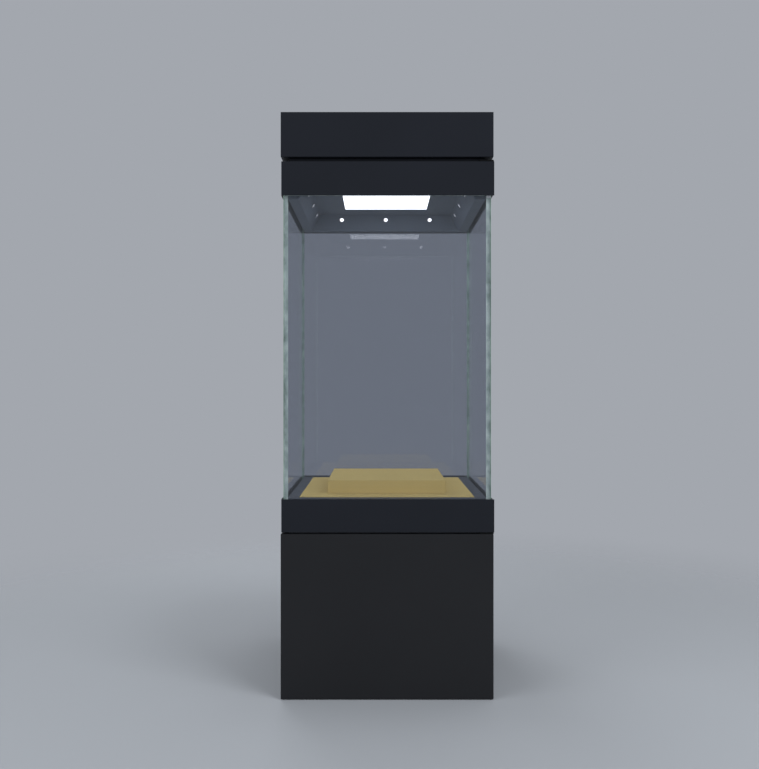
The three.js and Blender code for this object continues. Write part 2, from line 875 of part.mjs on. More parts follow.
// The lead runs down inside the hood, lies along the ceiling's flat top and climbs over the
// edge of the light box into the driver's end.
function powerLead(driverLevel) {
  const inletZ = hoodTop - inletDrop;
  const start = halfDepth + fitGap - inletDepth - fitGap;
  const fall = slopeFootY - leadStandoff;
  const lying = ceilingTop + sheet + leadRadius + fitGap;
  const boxTop = driverLevel - fitGap;
  const entry = driverLevel + driverHeight / 2;
  const end = driverLength / 2 + fitGap;
  const route = [
    [inletX, start, inletZ],
    [inletX, start - leadBend, inletZ],
    [inletX, fall + leadBend, inletZ - leadBend / 2],
    [inletX, fall, inletZ - 2.5 * leadBend],
    [inletX, fall, ceilingTop + 3.5 * leadBend],
    [inletX, fall - leadBend, lying + leadBend],
    [inletX, fall - 3 * leadBend, lying + leadBend / 4],
    [inletX, fall - 6.5 * leadBend, lying],
    [inletX, fall - 10 * leadBend, lying],
    [inletX, driverOffset + 5.5 * leadBend, lying],
    [inletX - leadBend / 2, driverOffset + 2 * leadBend, lying + leadBend / 14],
    [lightBoxHalf + 1.7 * leadBend, driverOffset + leadBend / 4, (lying + boxTop) / 2],
    [lightBoxHalf + leadBend / 7, driverOffset, boxTop + leadBend],
    [lightBoxHalf - 2 * leadBend, driverOffset, entry],
    [end + leadBend, driverOffset, entry],
    [end, driverOffset, entry],
  ];
  const path = new THREE.CatmullRomCurve3(route.map((point) => new THREE.Vector3(...point)));
  const section = new THREE.Shape();
  section.absarc(0, 0, leadRadius, 0, 2 * Math.PI);
  return new THREE.ExtrudeGeometry(section, {
    extrudePath: path,
    steps: leadSteps,
    curveSegments: leadSides / 2,
  });
}

function makeAttic() {
  const attic = new THREE.Group();
  addPiece(attic, "attic_frame", atticFrame(), paint.canopy);
  addPiece(attic, "hood_shell", hoodShell(), paint.canopy);
  addPiece(attic, "attic_lid", atticLid(), paint.canopy);
  const driverLevel = lightLevel + lightBoxHeight + fitGap;
  addPiece(attic, "led_driver", ledDriver(driverLevel), whitePlastic);
  addPiece(attic, "power_inlet", powerInlet(), blackPlastic);
  addPiece(attic, "power_lead", powerLead(driverLevel), blackPlastic);
  return attic;
}

// Locks. Each cam rests pointing at the door and turns up to lock.

const camX = -halfWidth + camInset; // the cam's outer face
const lugLow = spindleRadius + lugClear; // the lug's lower edge above the lock's axis
const lugFront = lockY + camWidth / 2 + lugPlay;
const lugRear = lugFront + lugThickness;

function camLock() {
  const face = -halfWidth - fitGap;
  const barrelEnd = -halfWidth + barrelLength;
  const camEnd = camX + camThickness;
  const at = (x) => [x, 0, 0];
  const rim = cut(
    bar(lockRimRadius, at(face - lockRim), at(face)),
    block(
      [face - lockRim - 1, -keyWidth / 2, -keyHeight / 2],
      [face - lockRim + keyDepth, keyWidth / 2, keyHeight / 2],
    ),
  );
  const cam = join(
    block([camX, 0, -camWidth / 2], [camEnd, -camLength + camWidth / 2, camWidth / 2]),
    bar(
      camWidth / 2,
      [camX, -camLength + camWidth / 2, 0],
      [camEnd, -camLength + camWidth / 2, 0],
    ),
  );
  return join(
    rim,
    bar(barrelRadius, at(face - 0.1), at(barrelEnd)),
    bar(spindleRadius, at(barrelEnd - 1), at(camEnd)),
    cam,
  );
}

function makeLocks() {
  const locks = new THREE.Group();
  const lock = camLock();
  addPiece(locks, "door_lock_lower", lock, steel).position.set(0, lockY, lowerLockZ);
  addPiece(locks, "door_lock_upper", lock, steel).position.set(0, lockY, upperLockZ);
  return locks;
}

// The lug on the door, from the door's back to behind the cam, in the case's frame.
function doorLug(level) {
  const outer = -halfWidth + lugInset;
  const inner = outer + lugWidth;
  const low = level + lugLow;
  return join(
    block([inner - lugArm, doorBack - 1, low], [inner, lugRear, low + lugHeight]),
    block([outer, lugFront, low], [inner, lugRear, low + lugHeight]),
  );
}

function lugSlot(level) {
  const outer = -halfWidth + lugInset - lugSlotGap;
  const inner = -halfWidth + lugInset + lugWidth + lugSlotGap;
  const low = level + lugLow - lugSlotGap;
  const high = level + lugLow + lugHeight + lugSlotGap;
  return block([outer, bodyFront, low], [inner, innerFront + frameSheet + 1, high]);
}

// Door: its group is shifted towards the hinges, so its pieces are drawn about x = 0.

const doorFront = -halfDepth;
const facing = -glassOuterY - fitGap; // back of the metal in front of the glass

// A rail in front of the glass that is full depth past the glass's edge, with a pocket along
// its back, a lug for the lock and a hole for the pivot pin at its outer end.
function doorRail(bottom, top, glassEdge, outerEnd, lockLevel) {
  const inwards = Math.sign(glassEdge - outerEnd);
  const deepEnd = glassEdge - inwards * fitGap;
  const facingPlate = slab(halfWidth, doorFront, facing, bottom, top);
  const deep = slab(halfWidth, facing, doorBack, outerEnd, deepEnd);
  const pocket = slab(
    halfWidth - railBlock,
    doorFront + railSkin,
    doorBack + 1,
    outerEnd + inwards * railSkin,
    deepEnd - inwards * railSkin,
  );
  const pivot = bar(
    pivotRadius + runGap,
    [pivotX - doorShift, pivotY, outerEnd - inwards],
    [pivotX - doorShift, pivotY, outerEnd + inwards * (pivotReach + pivotSink)],
  );
  const lug = doorLug(lockLevel).translate([-doorShift, 0, 0]);
  return join(cut(facingPlate.add(deep), pocket, pivot), lug);
}

const clampRight = halfWidth - clampInset;
const clampFront = facing - clampThickness;

function cornerClamp() {
  return block(
    [clampRight - clampWidth, clampFront, fasciaBottom - clampDrop],
    [clampRight, facing, fasciaBottom + clampRise],
  );
}

function clampPocket() {
  return block(
    [clampRight - clampWidth - fitGap, clampFront - fitGap, fasciaBottom - 1],
    [clampRight + fitGap, facing + 1, fasciaBottom + clampRise + fitGap],
  );
}

// A thin strip behind the edges of the door's glass that meets the fixed glass all round.
function doorSeal() {
  const y0 = doorBack + fitGap;
  const outer = halfWidth - sealInset;
  const inner = outer - sealWidth;
  const low = deckLevel - sealWidth / 2;
  const high = fasciaBottom + sealWidth + sheet;
  const ring = cut(
    slab(outer, y0, y0 + sealThickness, low - sealWidth, high),
    slab(inner, y0 - 1, y0 + sealThickness + 1, low, high - sealWidth),
  );
  return ring.translate([-doorShift, 0, 0]);
}

function makeDoor() {
  const door = new THREE.Group();
  door.position.x = doorShift;
  const low = deckLevel - doorGlassFoot;
  const high = fasciaBottom + doorGlassHead;
  const pane = block(
    [-halfWidth + doorGlassLeftInset, -glassOuterY, low],
    [halfWidth - doorGlassRightInset, -glassInnerY, high],
  );
  addPiece(door, "door_glass", pane, glass);
  const collar = doorRail(collarBottom, deckLevel, low, collarBottom, lowerLockZ);
  addPiece(door, "door_collar", collar, paint.canopy);
  const fascia = doorRail(fasciaBottom, fasciaTop, high, fasciaTop, upperLockZ);
  addPiece(door, "door_fascia", cut(fascia, clampPocket()), paint.canopy);
  addPiece(door, "door_corner_clamp", cornerClamp(), steel);
  addPiece(door, "door_seal", doorSeal(), clearSeal);
  return door;
}

// Pivot brackets: a plate on the deck base or the neck, and a pin into the door's rail.
function pivotBracket(low, pinUp, seatY) {
  const high = low + bracketThickness;
  const pin = pinUp ? [high - 1, high + pivotReach] : [low + 1, low - pivotReach];
  return join(
    block(
      [pivotX - bracketLength, -halfDepth + bracketSetback, low],
      [pivotX + pivotInset - bracketSetback, seatY, high],
    ),
    bar(pivotRadius, [pivotX, pivotY, pin[0]], [pivotX, pivotY, pin[1]]),
  );
}

function makePivots() {
  const pivots = new THREE.Group();
  const lower = pivotBracket(
    collarBottom - bracketGap - bracketThickness,
    true,
    -wallY - fitGap,
  );
  addPiece(pivots, "pivot_bracket_lower", lower, zinc);
  const upper = pivotBracket(fasciaTop + bracketGap, false, -neckY - fitGap);
  addPiece(pivots, "pivot_bracket_upper", upper, zinc);
  return pivots;
}

const displayCase = new THREE.Group();
displayCase.name = "display_case";
displayCase.add(
  makePlinth(),
  makeDeck(),
  makeBands(),
  makeGlazing(),
  makeLights(),
  makeAttic(),
  makeLocks(),
  makeDoor(),
  makePivots(),
);

export default displayCase;
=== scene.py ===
import math

import bmesh
import bpy
from mathutils import Matrix, Vector


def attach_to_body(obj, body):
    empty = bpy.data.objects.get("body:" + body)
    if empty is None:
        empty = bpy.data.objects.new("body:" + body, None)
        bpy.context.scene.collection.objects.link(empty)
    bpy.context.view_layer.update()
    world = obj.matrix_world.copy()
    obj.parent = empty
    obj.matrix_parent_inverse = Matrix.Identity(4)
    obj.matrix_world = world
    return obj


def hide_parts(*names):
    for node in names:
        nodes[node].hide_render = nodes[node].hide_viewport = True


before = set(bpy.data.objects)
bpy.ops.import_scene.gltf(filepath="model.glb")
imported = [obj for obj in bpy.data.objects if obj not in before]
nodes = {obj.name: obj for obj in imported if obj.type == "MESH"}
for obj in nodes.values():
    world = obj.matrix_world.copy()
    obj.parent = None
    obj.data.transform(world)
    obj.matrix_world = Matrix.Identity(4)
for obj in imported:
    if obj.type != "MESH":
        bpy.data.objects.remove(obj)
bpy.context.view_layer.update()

mm = 0.001  # the scene is in metres, the sizes below are in millimetres
limits = {
    "near": 0.05,  # places closer than this count as the same
    "aligned": 0.9,  # cosine above which a direction counts as along an axis
    "weld": 0.02,
    "flat": 1,  # degrees, as are the next four
    "round": 30,
    "rim": 60,
    "fitting": 50,
    "smooth": 32,
}
case = {
    "half": 400,
    "front": -377.5,  # where what stands behind the door begins
    "gap": 0.3,  # between pieces that meet
}
steel = {"sheet": 2, "fold": 2.4, "rim": 0.3}
print("frame loaded,", len(nodes), "nodes")


def clearSelection():
    if bpy.context.object and bpy.context.object.mode != "OBJECT":
        bpy.ops.object.mode_set(mode="OBJECT")
    bpy.ops.object.select_all(action="DESELECT")


def pick(piece, *more):
    clearSelection()
    for other in more:
        other.select_set(True)
    piece.select_set(True)
    bpy.context.view_layer.objects.active = piece


def shape(piece):
    pick(piece)
    bpy.ops.object.mode_set(mode="EDIT")


def near(a, b):
    return abs(a - b) < limits["near"]


def along(part, way=1):
    # whether one part of a direction points way along its axis; 0 takes both ways
    return (part * way if way else abs(part)) > limits["aligned"]


def choose(piece, kind, test):
    # selects, in edit mode, the faces, edges or points that pass the test
    bpy.ops.mesh.select_mode(type=kind)
    bpy.ops.mesh.select_all(action="DESELECT")
    mesh = bmesh.from_edit_mesh(piece.data)
    found = 0
    if kind == "FACE":
        parts = [(face, face.calc_center_median() / mm, face.normal) for face in mesh.faces]
    elif kind == "EDGE":
        parts = [
            (edge, (edge.verts[0].co + edge.verts[1].co) / 2 / mm,
             (edge.verts[1].co - edge.verts[0].co).normalized())
            for edge in mesh.edges
        ]
    else:
        parts = [(point, point.co / mm, point.normal) for point in mesh.verts]
    for part, centre, direction in parts:
        if test(centre, direction):
            part.select_set(True)
            found += 1
    bmesh.update_edit_mesh(piece.data)
    if not found:
        raise ValueError(piece.name + ": nothing to select")


def move(x, y, z):
    bpy.ops.transform.translate(value=(x * mm, y * mm, z * mm))


def extrude(x, y, z):
    bpy.ops.mesh.extrude_region_move(
        TRANSFORM_OT_translate={"value": (x * mm, y * mm, z * mm)}
    )


def extrudeEdges(x, y, z):
    bpy.ops.mesh.extrude_edges_move(
        TRANSFORM_OT_translate={"value": (x * mm, y * mm, z * mm)}
    )


def bisect(point, normal):
    bpy.ops.mesh.bisect(plane_co=[c * mm for c in point], plane_no=normal)


def pointOutwards(piece):
    shape(piece)
    bpy.ops.mesh.select_all(action="SELECT")
    bpy.ops.mesh.normals_make_consistent(inside=False)
    clearSelection()


def named(name):
    # place, turn and scale go into the mesh
    piece = bpy.context.object
    piece.name = piece.data.name = name
    bpy.ops.object.transform_apply(location=True, rotation=True, scale=True)
    return piece


def startBox(name, low, high):
    clearSelection()
    bpy.ops.mesh.primitive_cube_add(
        size=1, location=[(a + b) / 2 * mm for a, b in zip(low, high)]
    )
    bpy.context.object.scale = [(b - a) * mm for a, b in zip(low, high)]
    return named(name)


def startSheet(name, half, level):
    # a flat square, ready in edit mode with its face selected
    clearSelection()
    bpy.ops.mesh.primitive_plane_add(size=2 * half * mm, location=(0, 0, level * mm))
    piece = named(name)
    shape(piece)
    choose(piece, "FACE", lambda c, n: True)
    return piece


def turned(name, centre, axis, steps, sides):
    # a round piece grown ring by ring; steps are (radius, distance along the axis)
    direction, middle = Vector(axis), Vector(centre)
    radius, reached = steps[0]
    clearSelection()
    bpy.ops.mesh.primitive_circle_add(
        vertices=sides,
        radius=radius * mm,
        fill_type="NGON",
        location=(middle + direction * reached) * mm,
        rotation=direction.to_track_quat("Z", "Y").to_euler(),
    )
    piece = named(name)
    shape(piece)
    choose(piece, "EDGE", lambda c, d: True)
    for nextRadius, distance in steps[1:]:
        extrudeEdges(*(direction * (distance - reached)))
        factor = nextRadius / radius
        bpy.ops.transform.resize(
            value=[1 if along(part, 0) else factor for part in direction],
            center_override=(middle + direction * distance) * mm,
        )
        radius, reached = nextRadius, distance
    bpy.ops.mesh.edge_face_add()
    pointOutwards(piece)
    return piece


def bore(centre, axis, radius, run, sides):
    # what a round hole is cut with, between the two distances of run
    return turned("hole", centre, axis, [(radius, reach) for reach in run], sides)


def pin(centre, axis, radius, run, chamfer, sides):
    start, end = run
    steps = [(radius, start), (radius, end - chamfer), (radius - chamfer, end)]
    return turned("pin", centre, axis, steps, sides)


def modify(piece, kind, **settings):
    pick(piece)
    modifier = piece.modifiers.new(kind.title(), kind)
    for name, value in settings.items():
        setattr(modifier, name, value)
    bpy.ops.object.modifier_apply(modifier=modifier.name)


def roundEdges(piece, width, segments=3, angle=limits["round"]):
    modify(
        piece,
        "BEVEL",
        width=width * mm,
        segments=segments,
        limit_method="ANGLE",
        angle_limit=math.radians(angle),
    )


def foldSheet(piece, sizes):
    # sheet metal: rounded folds, then the wall inwards, then the cut edges broken
    roundEdges(piece, sizes["fold"], segments=4)
    modify(
        piece,
        "SOLIDIFY",
        thickness=sizes["sheet"] * mm,
        offset=-1,
        use_even_offset=True,
    )
    roundEdges(piece, sizes["rim"], segments=1, angle=limits["rim"])


def drill(piece, cutter):
    modify(piece, "BOOLEAN", operation="DIFFERENCE", solver="EXACT", object=cutter)
    bpy.data.objects.remove(cutter)


def joinTo(piece, *others):
    pick(piece, *others)
    bpy.ops.object.join()


def paintFaces(piece, index, test):
    shape(piece)
    choose(piece, "FACE", test)
    piece.active_material_index = index
    bpy.ops.object.material_slot_assign()
    clearSelection()


def smooth(piece):
    pick(piece)
    bpy.ops.object.shade_smooth_by_angle(angle=math.radians(limits["smooth"]))


def attach(piece, body, node):
    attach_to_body(piece, body)
    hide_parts(node)


def dress(piece, body, finish, node):
    piece.data.materials.append(finish.owner)
    smooth(piece)
    modify(piece, "WEIGHTED_NORMAL", keep_sharp=True)
    attach(piece, body, node)


def paintNode(node, finish):
    # a CAD node that stays, in a finish of its own
    nodes[node].data.materials.clear()
    nodes[node].data.materials.append(finish.owner)


def cleanCopy(name, node, width=0):
    # a merged copy of a CAD node's mesh, its real edges softened
    piece = bpy.data.objects.new(name, nodes[node].data.copy())
    bpy.context.scene.collection.objects.link(piece)
    piece.data.materials.clear()
    shape(piece)
    bpy.ops.mesh.customdata_custom_splitnormals_clear()
    bpy.ops.mesh.select_all(action="SELECT")
    bpy.ops.mesh.remove_doubles(threshold=limits["weld"] * mm)
    bpy.ops.mesh.dissolve_limited(angle_limit=math.radians(limits["flat"]))
    clearSelection()
    if width:
        roundEdges(piece, width, segments=2)
    return piece


def colour(red, green, blue):
    # written as on a screen, from 0 to 255, and turned into linear light
    def light(value):
        value /= 255
        return value / 12.92 if value <= 0.04045 else ((value + 0.055) / 1.055) ** 2.4

    return (light(red), light(green), light(blue), 1.0)


class Wire:
    # an output in a material; + - * and ** add Math nodes to it
    def __init__(self, finish, socket):
        self.finish = finish
        self.socket = socket

    def maths(self, operation, other=0.0, flip=False):
        pair = (other, self) if flip else (self, other)
        return self.finish.add(
            "ShaderNodeMath", {"operation": operation}, dict(enumerate(pair))
        )

    def twin(self, name):
        return Wire(self.finish, self.socket.node.outputs[name])

    def __add__(self, other):
        return self.maths("ADD", other)

    def __sub__(self, other):
        return self.maths("SUBTRACT", other)

    def __rsub__(self, other):
        return self.maths("SUBTRACT", other, True)

    def __mul__(self, other):
        return self.maths("MULTIPLY", other)

    def __pow__(self, other):
        return self.maths("POWER", other)

    __radd__ = __add__
    __rmul__ = __mul__


class Finish:
    def __init__(self, owner, slot=None):
        self.owner = owner
        self.slot = slot
        owner.use_nodes = True
        self.tree = owner.node_tree
        self.tree.nodes.clear()

    def add(self, kind, settings=None, values=None, output=0):
        node = self.tree.nodes.new(kind)
        for key, value in (settings or {}).items():
            setattr(node, key, value)
        for key, value in (values or {}).items():
            if isinstance(value, Wire):
                self.tree.links.new(value.socket, node.inputs[key])
            else:
                node.inputs[key].default_value = value
        return Wire(self, node.outputs[output]) if len(node.outputs) else None

    def onObject(self, turn=(0, 0, 0), stretch=(1, 1, 1)):
        where = self.add("ShaderNodeTexCoord", output="Object")
        return self.stretched(where, stretch, turn)

    def stretched(self, where, stretch, turn=(0, 0, 0)):
        return self.add(
            "ShaderNodeMapping", None, {"Vector": where, "Rotation": turn, "Scale": stretch}
        )

    def noise(self, where, scale, detail):
        return self.add(
            "ShaderNodeTexNoise", None, {"Vector": where, "Scale": scale, "Detail": detail}
        )

    def blend(self, factor, first, second):
        # sockets 0, 6 and 7 and output 2 are the colour ones of a Mix node
        return self.add(
            "ShaderNodeMix", {"data_type": "RGBA"}, {0: factor, 6: first, 7: second}, 2
        )

    def bump(self, height, distance, strength):
        return self.add(
            "ShaderNodeBump",
            None,
            {"Height": height, "Distance": distance * mm, "Strength": strength},
        )

    def mixShaders(self, factor, first, second):
        return self.add("ShaderNodeMixShader", None, {0: factor, 1: first, 2: second})

    def surface(self, **sockets):
        values = {name.replace("_", " "): value for name, value in sockets.items()}
        return self.add("ShaderNodeBsdfPrincipled", None, values)

    def close(self, shader, kind="ShaderNodeOutputMaterial"):
        self.add(kind, None, {"Surface": shader})
        return self


def newFinish(name, slot=None):
    return Finish(bpy.data.materials.new(name), slot)


# patterns are (scale, detail) of a noise; sway is how far roughness strays
powder = {
    "cloud": (2.4, 3),
    "rubbed": (19, 5),
    "grain": (850, 2),
    "sway": 0.14,
    "relief": 0.05,
    "strength": 0.5,
}
brushing = {
    "stretch": (1, 1, 60),
    "lines": (60, 3),
    "sway": 0.18,
    "relief": 0.02,
    "strength": 0.4,
}
moulding = {
    "cloud": (14, 3),
    "rubbed": (45, 3),
    "grain": (700, 2),
    "sway": 0.12,
    "gloss": 0.4,
    "relief": 0.04,
    "strength": 0.4,
}


def powderCoat(name, slot, low, high, roughness=0.46, gloss=0.22):
    # baked powder paint: a fine grain, with slow changes of tone and gloss
    coat = newFinish(name, slot)
    where = coat.onObject()
    tone = coat.noise(where, *powder["cloud"])
    rubbed = coat.noise(where, *powder["rubbed"])
    grain = coat.noise(where, *powder["grain"])
    return coat.close(
        coat.surface(
            Base_Color=coat.blend(tone, colour(*low), colour(*high)),
            Roughness=roughness + powder["sway"] * (rubbed - 0.5),
            Specular_IOR_Level=gloss,
            Normal=coat.bump(grain, powder["relief"], powder["strength"]),
        )
    )


def brushedMetal(name, slot, low, high, roughness):
    metal = newFinish(name, slot)
    where = metal.onObject(stretch=brushing["stretch"])
    lines = metal.noise(where, *brushing["lines"])
    return metal.close(
        metal.surface(
            Base_Color=metal.blend(lines, colour(*low), colour(*high)),
            Metallic=1.0,
            Roughness=roughness + brushing["sway"] * (lines - 0.5),
            Normal=metal.bump(lines, brushing["relief"], brushing["strength"]),
        )
    )


def plainPlastic(name, slot, low, high, roughness):
    plastic = newFinish(name, slot)
    where = plastic.onObject()
    tone = plastic.noise(where, *moulding["cloud"])
    rubbed = plastic.noise(where, *moulding["rubbed"])
    grain = plastic.noise(where, *moulding["grain"])
    return plastic.close(
        plastic.surface(
            Base_Color=plastic.blend(tone, colour(*low), colour(*high)),
            Roughness=roughness + moulding["sway"] * (rubbed - 0.5),
            Specular_IOR_Level=moulding["gloss"],
            Normal=plastic.bump(grain, moulding["relief"], moulding["strength"]),
        )
    )


cloth = {
    "unit": 100,  # one unit of the UV map
    "threads": 84,  # in one unit
    "shadeLow": (206, 182, 114),
    "shadeHigh": (229, 205, 134),
    # the colour of the painted shade between the threads
    "gap": (168, 146, 90),
    "gapDepth": 0.55,  # how far the shade falls towards the gaps
    "wander": (22, 3),
    "wanderReach": 0.9,  # threads
    "slub": (1, 3),
    "slubStretches": ((3, 70, 1), (70, 3, 1)),
    "slubContrast": 1.6,
    "roughness": 0.9,
    "gloss": 0.1,
    "relief": 0.28,
    "strength": 0.6,
}


def wovenCloth():
    # plain weave on the piece's own UV map
    weave = newFinish("tanCloth", "tan_cloth")
    where = weave.add("ShaderNodeTexCoord", output="UV")
    wander = cloth["wanderReach"] * weave.noise(where, *cloth["wander"])
    flat = weave.add("ShaderNodeSeparateXYZ", None, {"Vector": where})
    warpAt = flat * cloth["threads"] + wander
    weftAt = flat.twin("Y") * cloth["threads"] + wander
    # over and under by turns; Z stays in the middle of a layer of the checker
    cell = weave.add("ShaderNodeCombineXYZ", None, {"X": warpAt, "Y": weftAt, "Z": 0.5})
    over = weave.add("ShaderNodeTexChecker", None, {"Vector": cell, "Scale": 1.0}, "Fac")
    warp = (warpAt * math.pi).maths("SINE").maths("ABSOLUTE")
    weft = (weftAt * math.pi).maths("SINE").maths("ABSOLUTE")
    height = warp * over + weft * (1 - over)
    first, second = (
        weave.noise(weave.stretched(where, stretch), *cloth["slub"])
        for stretch in cloth["slubStretches"]
    )
    tone = cloth["slubContrast"] * (0.5 * (first + second) - 0.5) + 0.5
    threads = weave.blend(tone, colour(*cloth["shadeLow"]), colour(*cloth["shadeHigh"]))
    depth = cloth["gapDepth"]
    # darker towards the gaps between threads: painted shade
    base = weave.blend(1 - depth + depth * height, colour(*cloth["gap"]), threads)
    return weave.close(
        weave.surface(
            Base_Color=base,
            Roughness=cloth["roughness"],
            Specular_IOR_Level=cloth["gloss"],
            Normal=weave.bump(height, cloth["relief"], cloth["strength"]),
        )
    )


glazing = {
    "tint": (227, 229, 233),  # what one face of a pane lets through as the camera sees it: the glass's own tint, darkened further as painted shade
    "mirror": 0.042,
    "slantMirror": 0.28,
    "slantPower": 5,
    "lampPath": (0.97, 0.98, 0.98, 1),  # let through on the way from a lamp
    "edge": ((84, 110, 100), (160, 184, 173), 0.1, 0.08),  # low, high, roughness, painted glow
    "seal": ((118, 136, 131), (196, 208, 206), 0.35, 0.3),
    "streaks": (42, 5),
    "streakTurn": (0.5, 0, 0),
    "streakStretch": (1, 1, 0.5),
    "streakContrast": 2.4,
    "smear": (240, 2),
    "sway": 0.1,
    "coat": 0.3,
}


def clearGlass():
    # panes that mirror more at a slant and let the lamps through; seen by the camera they
    # are tinted and darkened further, a painted shade
    pane = newFinish("clearGlass", "clear_glass")
    slant = pane.add("ShaderNodeLayerWeight", None, {"Blend": 0.5}, "Facing")
    path = pane.add("ShaderNodeLightPath")
    lamp = path.twin("Is Shadow Ray").maths("MAXIMUM", path.twin("Is Diffuse Ray"))
    steep = glazing["slantMirror"] * slant ** glazing["slantPower"]
    mirror = (glazing["mirror"] + steep) * (1 - lamp)
    # painted shade: the camera looks through a darker tint than the lamps pass through
    tintedAndShaded = pane.add(
        "ShaderNodeBsdfTransparent", None, {"Color": colour(*glazing["tint"])}
    )
    clear = pane.add("ShaderNodeBsdfTransparent", None, {"Color": glazing["lampPath"]})
    shine = pane.add(
        "ShaderNodeBsdfAnisotropic", None, {"Color": (1, 1, 1, 1), "Roughness": 0.0}
    )
    body = pane.mixShaders(lamp, tintedAndShaded, clear)
    return pane.close(pane.mixShaders(mirror, body, shine))


def greenWithPaintedLight(name, slot, low, high, roughness, paintedGlow):
    # the green of a thick pane's polished edge and of the clear seal, with painted streaks
    # of carried light and a painted glow, though neither is a lamp
    edge = newFinish(name, slot)
    where = edge.onObject(glazing["streakTurn"], glazing["streakStretch"])
    streaks = glazing["streakContrast"] * (edge.noise(where, *glazing["streaks"]) - 0.5)
    amount = (streaks + 0.5).maths("MINIMUM", 1).maths("MAXIMUM", 0)
    green = edge.blend(amount, colour(*low), colour(*high))
    smear = edge.noise(edge.onObject(), *glazing["smear"])
    # the streaked green is also emitted: a painted glow
    return edge.close(
        edge.surface(
            Base_Color=green,
            Roughness=roughness + glazing["sway"] * smear,
            Coat_Weight=glazing["coat"],
            Emission_Color=green,
            Emission_Strength=paintedGlow,
        )
    )


glowing = {
    "cloud": (9, 2),
    "low": (246, 247, 250),
    "high": (255, 255, 255),
    "roughness": 0.4,
    "panel": 3.6,
    "spot": 3.2,
}


def litSurface(name, slot, strength):
    lit = newFinish(name, slot)
    tone = lit.noise(lit.onObject(), *glowing["cloud"])
    shade = lit.blend(tone, colour(*glowing["low"]), colour(*glowing["high"]))
    return lit.close(
        lit.surface(
            Base_Color=shade,
            Roughness=glowing["roughness"],
            Emission_Color=shade,
            Emission_Strength=strength,
        )
    )


plinthCoat = powderCoat("plinthCoat", "plinth_powder_coat", (31, 32, 35), (36, 37, 40))
canopyCoat = powderCoat("canopyCoat", "canopy_powder_coat", (25, 28, 34), (30, 33, 41))
deckCoat = powderCoat(
    "deckCoat", "deck_paint", (67, 71, 79), (76, 80, 89), roughness=0.45
)
ceilingCoat = powderCoat(
    "ceilingCoat", "ceiling_paint", (100, 109, 121), (108, 117, 133), roughness=0.6
)
# the frame paint darkened to near black: painted shade, so the pivot brackets read as the
# dark joint they sit in
pivotCoat = powderCoat(
    "pivotCoat", "frame_paint", (12, 13, 14), (17, 18, 19), roughness=0.6, gloss=0.1
)
frameCoat = powderCoat(
    "frameCoat", "frame_paint", (38, 40, 43), (47, 49, 53), roughness=0.55
)
satinSteel = brushedMetal(
    "satinSteel", "satin_steel", (168, 171, 175), (200, 203, 206), roughness=0.26
)
spotTrim = brushedMetal(
    "spotTrim", "spot_trim", (150, 152, 156), (176, 178, 182), roughness=0.4
)
zincSteel = brushedMetal(
    "zincSteel", "zinc_steel", (124, 129, 134), (158, 162, 165), roughness=0.42
)
whiteHousing = plainPlastic(
    "whiteHousing", "white_housing", (208, 208, 203), (224, 224, 220), roughness=0.42
)
blackPlastic = plainPlastic(
    "blackPlastic", "black_plastic", (19, 20, 22), (28, 29, 31), roughness=0.5
)
cableJacket = plainPlastic(
    "cableJacket", "cable_jacket", (22, 23, 25), (32, 33, 35), roughness=0.6
)
tanCloth = wovenCloth()
paneGlass = clearGlass()
# pane edges and the seal carry painted streaks of light and a painted glow
paneEdge = greenWithPaintedLight("paneEdge", "clear_glass", *glazing["edge"])
clearSilicone = greenWithPaintedLight("clearSilicone", "clear_silicone", *glazing["seal"])
opalLight = litSurface("opalLight", "opal_acrylic", glowing["panel"])
spotLens = litSurface("spotLens", "spot_trim", glowing["spot"])
print("finishes ready")


plinth = {**steel, "low": 3, "high": 623, "depth": 20, "footEdge": 0.4}


def makePlinth():
    # four folded trays, open at the back
    half = case["half"]
    inner = half - plinth["depth"]
    side = inner - case["gap"]
    places = {
        "Front": ((-half, -half), (half, -inner), (0, 1, 0)),
        "Back": ((-half, inner), (half, half), (0, -1, 0)),
        "Left": ((-half, -side), (-inner, side), (1, 0, 0)),
        "Right": ((inner, -side), (half, side), (-1, 0, 0)),
    }
    for place, (low, high, inwards) in places.items():
        panel = startBox(
            "plinth" + place, (*low, plinth["low"]), (*high, plinth["high"])
        )
        shape(panel)
        choose(panel, "FACE", lambda c, n: along(n.dot(Vector(inwards))))
        bpy.ops.mesh.delete(type="ONLY_FACE")
        foldSheet(panel, plinth)
        dress(panel, "case", plinthCoat, "plinth_panel_" + place.lower())


def makeUnderframe():
    for node in nodes:
        if node.startswith(("base_ring", "corner_post")):
            paintNode(node, frameCoat)
        if node.startswith("levelling_foot"):
            corner = node.removeprefix("levelling_foot").title().replace("_", "")
            foot = cleanCopy("foot" + corner, node, plinth["footEdge"])
            dress(foot, "case", zincSteel, node)


makePlinth()
makeUnderframe()
print("plinth done")


# the collar and fascia, round the foot and head of the glass; each level is
# (lowest, highest, where the deep flange turns in, the lock's height)
bands = {
    **steel,
    "reach": 7.7,
    "deepReach": 27.7,
    "levels": {"collar": (630, 753, 630, 665), "fascia": (1896, 2023, 2023, 1988)},
    "lockHole": 9.8,
    "holeRun": (-2, 4),
    "lockY": -350,
}


